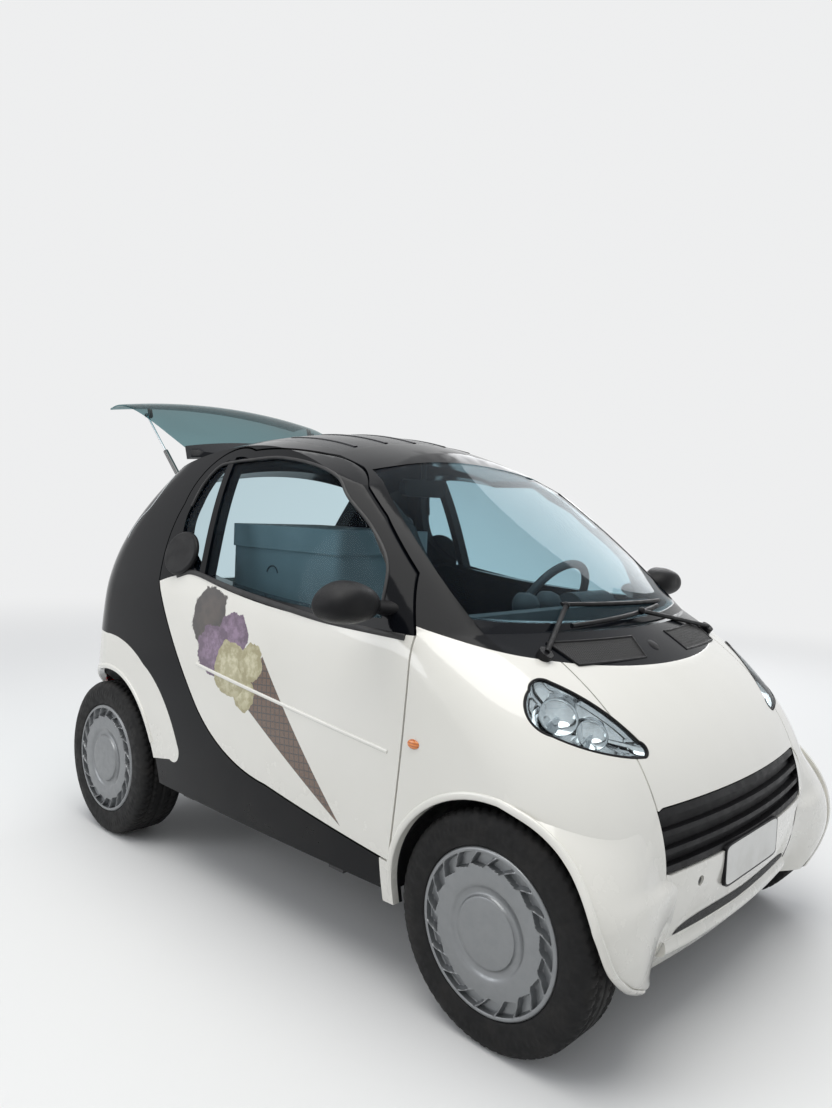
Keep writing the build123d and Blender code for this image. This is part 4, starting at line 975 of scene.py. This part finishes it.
def wing_corners():
    """Lower corner of each front wing: level curves from the bumper's end to the arch.

    A level curve is a Bezier arc that ends at the lip, and fades into the body's own outline
    above. Returns the lip's line.
    """
    axle_x, _, axle_z, _ = AXLES["front"]
    heights = np.concatenate([np.linspace(0.200, 0.44, 24), np.linspace(0.450, 0.700, 24)])
    lip_y = natural_spline(np.array(LIP_HEIGHTS), np.array(LIP_HALF_WIDTHS)[:, None], heights)[:, 0]
    t = np.linspace(0, 1, 48)[:, None]
    bumper_x = laid(NOSE_FACES, [(1.2, 0.380, min(z, 0.444)) for z in heights], (1, 0, 0))[:, 0]
    rows, arch = [], []
    for z, lip, seam_x in zip(heights, lip_y, bumper_x):
        high = smooth_step(z, 0.40, 0.448)
        seam_y = 0.3865 + 0.047 * high
        nose = float(nose_x(seam_y, z)) - 0.003
        seam = np.array(((1 - high) * (seam_x + 0.0006) + high * nose, seam_y))
        limit = axle_x + np.sqrt(max(LIP_RADIUS ** 2 - (z - axle_z) ** 2, 0.0016))
        edge = np.array((limit, lip))
        span = np.hypot(*(edge - seam))
        one = seam + 0.36 * span * np.array((0.09, 0.99))
        two = edge - 0.39 * span * np.array((-0.47, 0.88))
        bulge = (1 - t) ** 3 * seam + 3 * t * (1 - t) ** 2 * one
        bulge = bulge + 3 * t * t * (1 - t) * two + t ** 3 * edge
        first = np.arctan2(*(seam - CORNER_MIDDLE)[::-1])
        turn = np.linspace(first, pi / 2, 400)
        out = np.stack([np.cos(turn), np.sin(turn), 0 * turn], 1)
        base = onto(np.array((*CORNER_MIDDLE, z)) + 0.2 * out, out)[:, :2]
        beyond = np.nonzero(base[:, 0] < limit)[0]
        last = turn[beyond[0]] if z > 0.40 else radians(55)
        at = first + (last - first) * t[:, 0]
        own = np.stack([np.interp(at, turn, base[:, k]) for k in (0, 1)], 1)
        near_seam = 1 - smooth_step(bulge[:, 1:], 0.47, 0.56)
        share = (1 - smooth_step(z, 0.38, 0.69)) * (1 - high * near_seam)
        away = unit(own - CORNER_MIDDLE)
        line = own + share * (bulge - own) - 0.003 * high * (1 - share) * away
        line = np.hstack([line, np.full((len(t), 1), z)])
        if z < 0.592:
            arch.append(line[-1])
        rows.append(np.vstack([line, line[-1] + ((0.0, -0.006, 0.0), (-0.001, -0.022, 0.0))]))
    sunk = [rows[0] + np.array((-d, -0.4 * d, h)) for d, h in ((0.020, 0.010), (0.006, 0.001))]
    rows = sunk + rows
    shape = facing((np.vstack(rows), quads(len(rows), len(rows[0]))), (1, 1, 0))
    add("wing_corners", both(shape), "root", WHITE, 50.0)
    return np.array(arch)


ARCH_LINE = wing_corners()


def flares():
    """Raised lip round each arch: a half-round bead along the wheel opening's edge in the panel's surface."""
    for name, r, start, end in (("front", 0.3215, 60, 183), ("rear", 0.3475, 30, 158)):
        cx, _, cz, _ = AXLES[name]
        angle = np.radians(np.linspace(start, end, 120))
        if name == "rear":
            angle = pi - angle
        edge = np.stack([cx + r * np.cos(angle), 0 * angle - 0.5, cz + r * np.sin(angle)], 1)
        path, normal = placed_path(edge)
        if name == "front":
            rear = angle > radians(84)
            away = (ARCH_LINE - np.array((cx, 0.0, cz))) / r
            line = ARCH_LINE * np.array((1, -1, 1)) + 0.006 * away * np.array((1, 0, 1))
            away = (line - np.array((cx, 0.0, cz))) / r
            tilted = np.stack([0.5 * away[:, 0], 0 * away[:, 0] - 1.0, 0.15 * away[:, 2]], 1)
            path = through(np.vstack([line, path[rear]]), 160)
            normal = unit(through(np.vstack([tilted, normal[rear]]), 160))
        add("arch_lips_" + name, both(bead(path, normal, 0.019, 0.0045, 12, 0.006)), "root", WHITE, 60.0)


flares()


def oval(place, half, dome, direction):
    """Low dome with an oval outline on the body, its height falling off as a circle arc."""
    base = onto(place, direction)
    normal = surface_normal(base)[0]
    level = unit(np.cross(normal, (0.0, 0.0, 1.0)))
    edge = outline(count=40) * np.asarray(half) @ np.array((level, np.cross(level, normal)))
    shells = [onto(base + edge, normal) - 0.004 * normal]
    for t in np.linspace(0, pi / 2 * 0.97, 8):
        shells.append(onto(base + cos(t) * edge, normal) + (dome * sin(t) + 0.0006) * normal)
    return facing(filled(shells), normal)


repeater = oval((0.671, -0.6, 0.686), (0.019, 0.0125), 0.006, (0.0, -1.0, 0.0))
add("side_repeaters", both(repeater), "root", AMBER, 50.0)
add("washer_cap", oval((0.930, -0.035, 0.900), (0.021, 0.021), 0.004, (0.8, 0.0, 0.6)), "root", TRIM, 50.0)


def scuttle_grilles():
    """Two four-sided mesh panels on the scuttle, each a grid between its edges laid on the body."""
    rows, columns = 36, 14
    u, v = np.meshgrid(np.linspace(0, 1, rows), np.linspace(0, 1, columns), indexing="ij")
    y = 0.098 + 0.322 * u + (1 - 2 * u) * 0.025 * (1 - v)
    x = nose_x(y, 0.893 - 0.018 * u) - 0.3
    points = np.stack([x.ravel(), y.ravel(), (0.892 + 0.048 * v).ravel()], 1)
    top = onto(points, (1.0, 0.0, 0.0)) + 0.0012 * np.array((0.45, 0.0, 0.9))
    add("scuttle_grilles", both(facing((top, quads(rows, columns)), (1, 0, 1))), "root", MESH, None)
    place = np.arange(rows * columns).reshape(rows, columns)
    path = top[np.concatenate([place[0], place[1:, -1], place[-1, -2::-1], place[-2::-1, 0]])]
    add("scuttle_grille_frames", both(bead(path, surface_normal(path), 0.007, 0.0028, 8)), "root", TRIM, 50.0)


scuttle_grilles()


def ribs():
    """Lengthwise ribs at the front of the roof, each a low bead on its crown."""
    shapes = []
    for y in (-0.36, -0.22, -0.08, 0.08, 0.22, 0.36):
        x = np.linspace(ROOF_MIDDLE_X, 0.012, 40)
        path = np.stack([x, 0 * x + y, roof_z(x, y)], 1)
        normal = unit(np.stack([(x - ROOF_MIDDLE_X) / ROOF_ALONG, 0 * x + y / ROOF_ACROSS, 0 * x + 1.0], 1))
        shapes.append(bead(path - 0.0015 * normal, normal, 0.022, 0.0045, 10))
    add("roof_ribs", join(*shapes), "root", ROOF, 60.0)


ribs()


def blank_plate(names, body, face, way, half, z, depth, brow):
    """Blank plate in a thin frame at x = face: rings grown by and standing out by a little.

    The frame starts at a depth and its inner edge, the brow, ends a little above the plate's foot.
    """
    flat = outline(0.18)
    for name, material, steps in (
        (names[0], TRIM, ((0.004, depth), (0.004, 0.0045), (0.0015, 0.0055), (-0.001, brow))),
        (names[1], PLATE, ((-0.0015, 0.0045), (-0.0015, 0.0054), (-0.0035, 0.0059), (-0.0055, 0.0055))),
    ):
        rings = [
            cross_ring(face + way * out, (0.0, z), (half[0] + grow, half[1] + grow), flat)
            for grow, out in steps
        ]
        add(name, facing(filled(rings), (way, 0, 0)), body, material)


def nose_path(y, z, lift=0.0):
    """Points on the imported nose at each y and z."""
    return laid(NOSE_FACES, np.stack([0 * y + 1.2, y, z], 1), (1, 0, 0), lift)


def front_details():
    """Blank plate, a dark disc of painted shade in the tow socket, the slot under the plate and the lip at
    the bumper's foot.
    """
    names = ("plate_frame", "number_plate_blank")
    blank_plate(names, "root", face=1.2467, way=1, half=(0.168, 0.052), z=0.402, depth=-0.0037, brow=0.0049)
    circle = outline(count=32)
    socket = np.array((-0.282, 0.397))
    mouth = nose_path(*(socket + 0.014 * circle).T)[:, 0].min()
    # Painted shade: a dark disc just inside the tow socket's mouth
    discs = [cross_ring(mouth - 0.002, socket, r, circle) for r in (0.0088, 0.004)]
    add("tow_socket_shade", facing(filled(discs), (1, 0, 0)), "root", SEAL)
    t = np.linspace(-1, 1, 81)
    rise = 0.036 * np.sqrt(np.maximum(1 - np.abs(t) ** 5, 0))
    rows = [nose_path(0.355 * t, 0.262 + 0.010 * np.abs(t) + rise * v, 0.0012) for v in np.linspace(0, 1, 7)]
    add("lower_slot", facing((np.vstack(rows), quads(7, 81)), (1, 0, 0)), "root", MESH, None)
    y = np.linspace(-0.384, 0.384, 101)
    path = nose_path(y, 0.236 + 0.012 * (np.abs(y) / 0.43) ** 3, -0.0065)
    normal = np.broadcast_to(np.array((0.96, 0.0, 0.28)), path.shape)
    angle = np.linspace(0, pi, 14)
    section = np.stack([0.023 * np.cos(angle), 0.020 * np.sin(angle) ** 0.8], 1)
    lip = bar(path, normal, np.vstack([section, [(-0.023, -0.012), (0.023, -0.012)]]))
    add("lower_lip", lip, "root", WHITE, 60.0)


front_details()

REAR_PLATE_Z = 0.752
TAIL_X = laid(face_tree("tailgate"), [(-1.2, 0.0, REAR_PLATE_Z)], (-1, 0, 0))[0][0]
blank_plate(
    ("rear_plate_frame", "rear_plate_blank"), frame["nodes"]["tailgate"]["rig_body"],
    face=TAIL_X, way=-1, half=(0.262, 0.056), z=REAR_PLATE_Z, depth=-0.014, brow=0.0048,
)


def door_mirror(side_name, side):
    """Mirror pod: half an egg whose section is an oval, cut flat behind, on a short tapered arm."""
    x, y, z = centre = np.array((0.512, -0.830, 1.032))
    half = np.array((0.094, 0.055))
    circle = outline()
    egg = circle * np.stack([1 - 0.10 * circle[:, 1], 1 + 0 * circle[:, 1]], 1)
    lip = ((-0.003, 0.90), (-0.020, 0.93), (-0.023, 0.97), (-0.016, 1.0))
    shell = [(0.079 * sin(t) - 0.006, cos(t * 0.985) ** 0.62) for t in np.linspace(0, pi / 2, 22)]
    pod = [cross_ring(x + ahead, (y, z), size * half, egg) for ahead, size in (*lip, *shell)]
    door_end, pod_end = np.array((0.505, -0.655, 1.004)), np.array((0.512, -0.790, 1.024))
    arm = []
    for t in np.linspace(0, 1, 20):
        place = door_end * (1 - t) + pod_end * t
        wide, tall = 0.040 * (1 - t) ** 2 + 0.020, 0.014 * (1 - t) ** 2 + 0.013
        arm.append(place + circle @ np.array(((wide, 0.0, 0.0), (0.0, 0.0, tall))))
    arm = outward_shape(filled(arm), (0.51, -0.73, 1.015))
    pod = join(outward_shape(filled(pod), centre), arm)
    glass = [cross_ring(x - 0.0075, (y, z), size * half, egg) for size in (0.90, 0.6, 0.3)]
    glass = facing(filled(glass), (-1, 0, 0))
    if side > 0:
        pod, glass = mirrored(pod), mirrored(glass)
    add("mirror_pod_" + side_name, pod, "door_" + side_name, TRIM, 50.0, ("mirror_" + side_name,))
    add("mirror_glass_" + side_name, glass, "door_" + side_name, CHROME)


for side_name, side in SIDES:
    door_mirror(side_name, side)


def fabric():
    """Dark woven cloth: two crossed rows of threads, worn paler in patches."""
    f = Finish("seat_cloth")
    x, y, z = f.xyz()
    weave = (y * 1500.0).sine() * ((x + z) * 1500.0).sine() * 0.5 + 0.5
    worn = f.noise(6.0, 5.0, 0.6).ramp(0.42, 0.72)
    base = f.mix(weave * 0.5 + worn * 0.5, (0.020, 0.021, 0.024), (0.062, 0.064, 0.070))
    return f.done(f.surface(Base_Color=base, Roughness=0.86, Sheen_Weight=0.25, Normal=f.bump(weave, 0.0004)))


def pad_shape(centre, along, half, bolster=0.0, channels=(), size=(72, 120)):
    """Crowned closed form: a superellipsoid whose top rises at both sides and dips along sewn channels.

    Half lengths are along, across (the y direction) and out; each coordinate is half * |cos|^p or
    |sin|^p, with p = 0.50 from below to above and 0.34 round about.
    """
    along = unit(along)
    across = np.array((0.0, 1.0, 0.0))
    out = np.cross(along, across)
    turn = np.linspace(-pi / 2, pi / 2, size[0])[:, None]
    round_turn = 2 * pi * np.arange(size[1])[None, :] / size[1]

    def power(value, p):
        return np.sign(value) * np.abs(value) ** p

    wide = power(np.cos(turn), 0.50)
    a = wide * power(np.cos(round_turn), 0.34)
    b = wide * power(np.sin(round_turn), 0.34)
    c = power(np.sin(turn), 0.50) + 0 * round_turn
    beside = np.abs(b)
    top = smooth_step(c, 0.2, 0.8)
    lift = bolster * smooth_step(beside, 0.50, 0.82) * (1 - smooth_step(beside, 0.9, 1.0))
    lift = lift + 0.10 * half[2] * (1 - a ** 2) * (1 - b ** 2)
    for place in channels:
        sewn = np.exp(-((a - place) * half[0] / 0.006) ** 2)
        lift = lift - 0.007 * sewn * (1 - smooth_step(beside, 0.50, 0.60))
    lift = lift - 0.006 * np.exp(-((beside - 0.56) * half[1] / 0.005) ** 2)
    c = c * half[2] + lift * top
    parts = ((a * half[0], along), (b * half[1], across), (c, out))
    points = np.asarray(centre) + sum(value[..., None] * way for value, way in parts)
    return outward_shape((points.reshape(-1, 3), quads(*size, False, True)), centre)


def driver_seat():
    """Cushion, back and headrest on a pedestal, each padded piece a crowned and sewn form."""
    cloth = fabric()
    low = float(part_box("driver_seat")[0][2])
    body = frame["nodes"]["driver_seat"]["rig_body"]
    pads = (
        ("cushion", ((-0.078, 0.320, 0.487), (-1.0, 0.0, -0.05), (0.238, 0.214, 0.058)), {
            "bolster": 0.020, "channels": (-0.55, -0.2, 0.15, 0.5)}),
        ("back", ((-0.400, 0.320, 0.790), (0.225, 0.0, -1.0), (0.290, 0.208, 0.055)), {
            "bolster": 0.022, "channels": (-0.6, -0.3, 0.0, 0.3, 0.6)}),
        ("headrest", ((-0.478, 0.320, 1.165), (0.10, 0.0, -1.0), (0.078, 0.116, 0.034)), {"size": (40, 72)}),
    )
    for name, place, sewing in pads:
        piece = add("seat_" + name, pad_shape(*place, **sewing), body, cloth, 70.0, ("driver_seat",))
    # Height, half length and half width of the pedestal
    steps = (
        (low, 0.19, 0.16), (low + 0.03, 0.19, 0.16), (low + 0.05, 0.165, 0.14),
        (0.425, 0.165, 0.14), (0.440, 0.185, 0.165), (0.455, 0.185, 0.165),
    )
    rings = [level_ring(z, (-0.09, 0.320), (a, b), outline(0.3)) for z, a, b in steps]
    parts = [outward_shape(filled(rings), (-0.09, 0.32, 0.35))]
    for y in (0.270, 0.370):
        rings = [level_ring(z, (x, y), 0.006, outline()) for x, z in ((-0.462, 1.06), (-0.476, 1.13))]
        parts.append(outward_shape(filled(rings), (-0.47, y, 1.10)))
    add("seat_pedestal", join(*parts), body, UNDER)


driver_seat()


def cabin_details():
    """Two round dials on the dashboard and the finger grip on the chest's side."""
    circle = outline(count=48)
    pods, faces = [], []
    x, z = 0.520, 0.985
    # Distance ahead of the dials' middle, and radius
    steps = (
        (-0.030, 0.031), (-0.034, 0.034), (-0.030, 0.038), (0.0, 0.040), (0.022, 0.034), (0.036, 0.020),
        (0.041, 0.006),
    )
    for y in (-0.062, 0.062):
        pod = [cross_ring(x + ahead, (y, z), r, circle) for ahead, r in steps]
        pods.append(outward_shape(filled(pod), (x, y, z)))
        disc = [cross_ring(x - 0.0305, (y, z), r, circle) for r in (0.0312, 0.02, 0.01)]
        faces.append(facing(filled(disc), (-1, 0, 0)))
    add("dial_pods", join(*pods), "root", CABIN, 50.0)
    add("dial_faces", join(*faces), "root", PLATE, 50.0)
    turn = np.linspace(radians(15), radians(165), 40)
    path = np.stack([-0.190 + 0.030 * np.cos(turn), 0 * turn - 0.530, 1.036 + 0.030 * np.sin(turn)], 1)
    grip = bead(path, np.broadcast_to(np.array((0.0, -1.0, 0.0)), path.shape), 0.006, 0.0025, 8, 0.002)
    add("chest_grip", grip, "root", UNDER, 50.0)


cabin_details()


# Camera of the photograph, worked out from the wheels and sills: turn, dip and roll in degrees
CAMERA_ANGLES = (43.30, 2.93, 2.41)
CAMERA_PLACE = (2.092 + SHIFT, -2.254, 1.270)
SENSOR = 36.0
FOCAL_LENGTH = 843.4 / 1108 * SENSOR


def camera():
    """Camera of the photograph: its axes by turn and dip, then rolled about the view."""
    turn, dip, roll = (radians(angle) for angle in CAMERA_ANGLES)
    forward = Vector((-sin(turn) * cos(dip), cos(turn) * cos(dip), -sin(dip)))
    level = forward.cross(Vector((0, 0, 1))).normalized()
    up = level.cross(forward)
    right = cos(roll) * level + sin(roll) * up
    top = -sin(roll) * level + cos(roll) * up
    data = bpy.data.cameras.new("camera")
    data.sensor_width = SENSOR
    data.lens = FOCAL_LENGTH
    data.clip_start, data.clip_end = 0.05, 100.0
    eye = bpy.data.objects.new("camera", data)
    bpy.context.scene.collection.objects.link(eye)
    rows = [[right[k], top[k], -forward[k], CAMERA_PLACE[k]] for k in range(3)]
    eye.matrix_world = Matrix(rows + [[0, 0, 0, 1]])
    bpy.context.scene.camera = eye


def studio():
    """Pale floor that runs up into a pale world, and three large soft lamps."""
    horizon = {"Color": (0.90, 0.905, 0.91), "Strength": 0.95}
    f = Finish("pale_floor")
    seen = f.seen()
    dull = f.surface(Base_Color=(0.60, 0.60, 0.59), Roughness=0.85)
    pale = f.surface(Base_Color=(0.80, 0.80, 0.795), Roughness=0.8)
    near = f.node("ShaderNodeMixShader", values={0: seen, 1: dull, 2: pale})
    x, y = f.xyz()[:2]
    far = ((x * x + y * y) ** 0.5).ramp(2.6, 9.0) * seen
    glow = f.node("ShaderNodeEmission", values=horizon)
    f.done(f.node("ShaderNodeMixShader", values={0: far, 1: near, 2: glow}))
    along = np.linspace(-30, 30, 61)
    grid = np.stack(np.meshgrid(along, along, indexing="ij") + [np.zeros((61, 61))], -1)
    floor = bpy.data.objects.new("floor", build_mesh("floor", grid, quads(61, 61)))
    bpy.context.scene.collection.objects.link(floor)
    floor.data.materials.append(f.material)
    sky = Finish("studio", "World")
    lit = sky.node("ShaderNodeBackground", values={"Color": (0.93, 0.96, 1.0), "Strength": 0.62})
    shown = sky.node("ShaderNodeBackground", values=horizon)
    sky.done(sky.node("ShaderNodeMixShader", values={0: sky.seen(), 1: lit, 2: shown}))
    bpy.context.scene.world = sky.material
    # Name, place, aim, size, power, colour
    lamps = (
        ("sky_lamp", (0.5, -1.0, 5.2), (0, 0, 0.6), 5.0, 170.0, (1.0, 0.99, 0.96)),
        ("side_lamp", (-3.2, -5.5, 3.0), (0, -0.3, 0.7), 3.5, 70.0, (0.95, 0.97, 1.0)),
        ("back_lamp", (-1.5, 5.5, 3.6), (0, 0, 0.8), 3.5, 90.0, (0.97, 0.98, 1.0)),
    )
    for name, place, aim, size, power, colour in lamps:
        data = bpy.data.lights.new(name, "AREA")
        data.shape = "DISK"
        data.size = size
        data.energy = power
        data.color = colour
        lamp = bpy.data.objects.new(name, data)
        bpy.context.scene.collection.objects.link(lamp)
        lamp.location = place
        lamp.rotation_mode = "QUATERNION"
        lamp.rotation_quaternion = (Vector(aim) - Vector(place)).to_track_quat("-Z", "Y")


camera()
studio()
bpy.context.scene.view_settings.view_transform = "Standard"
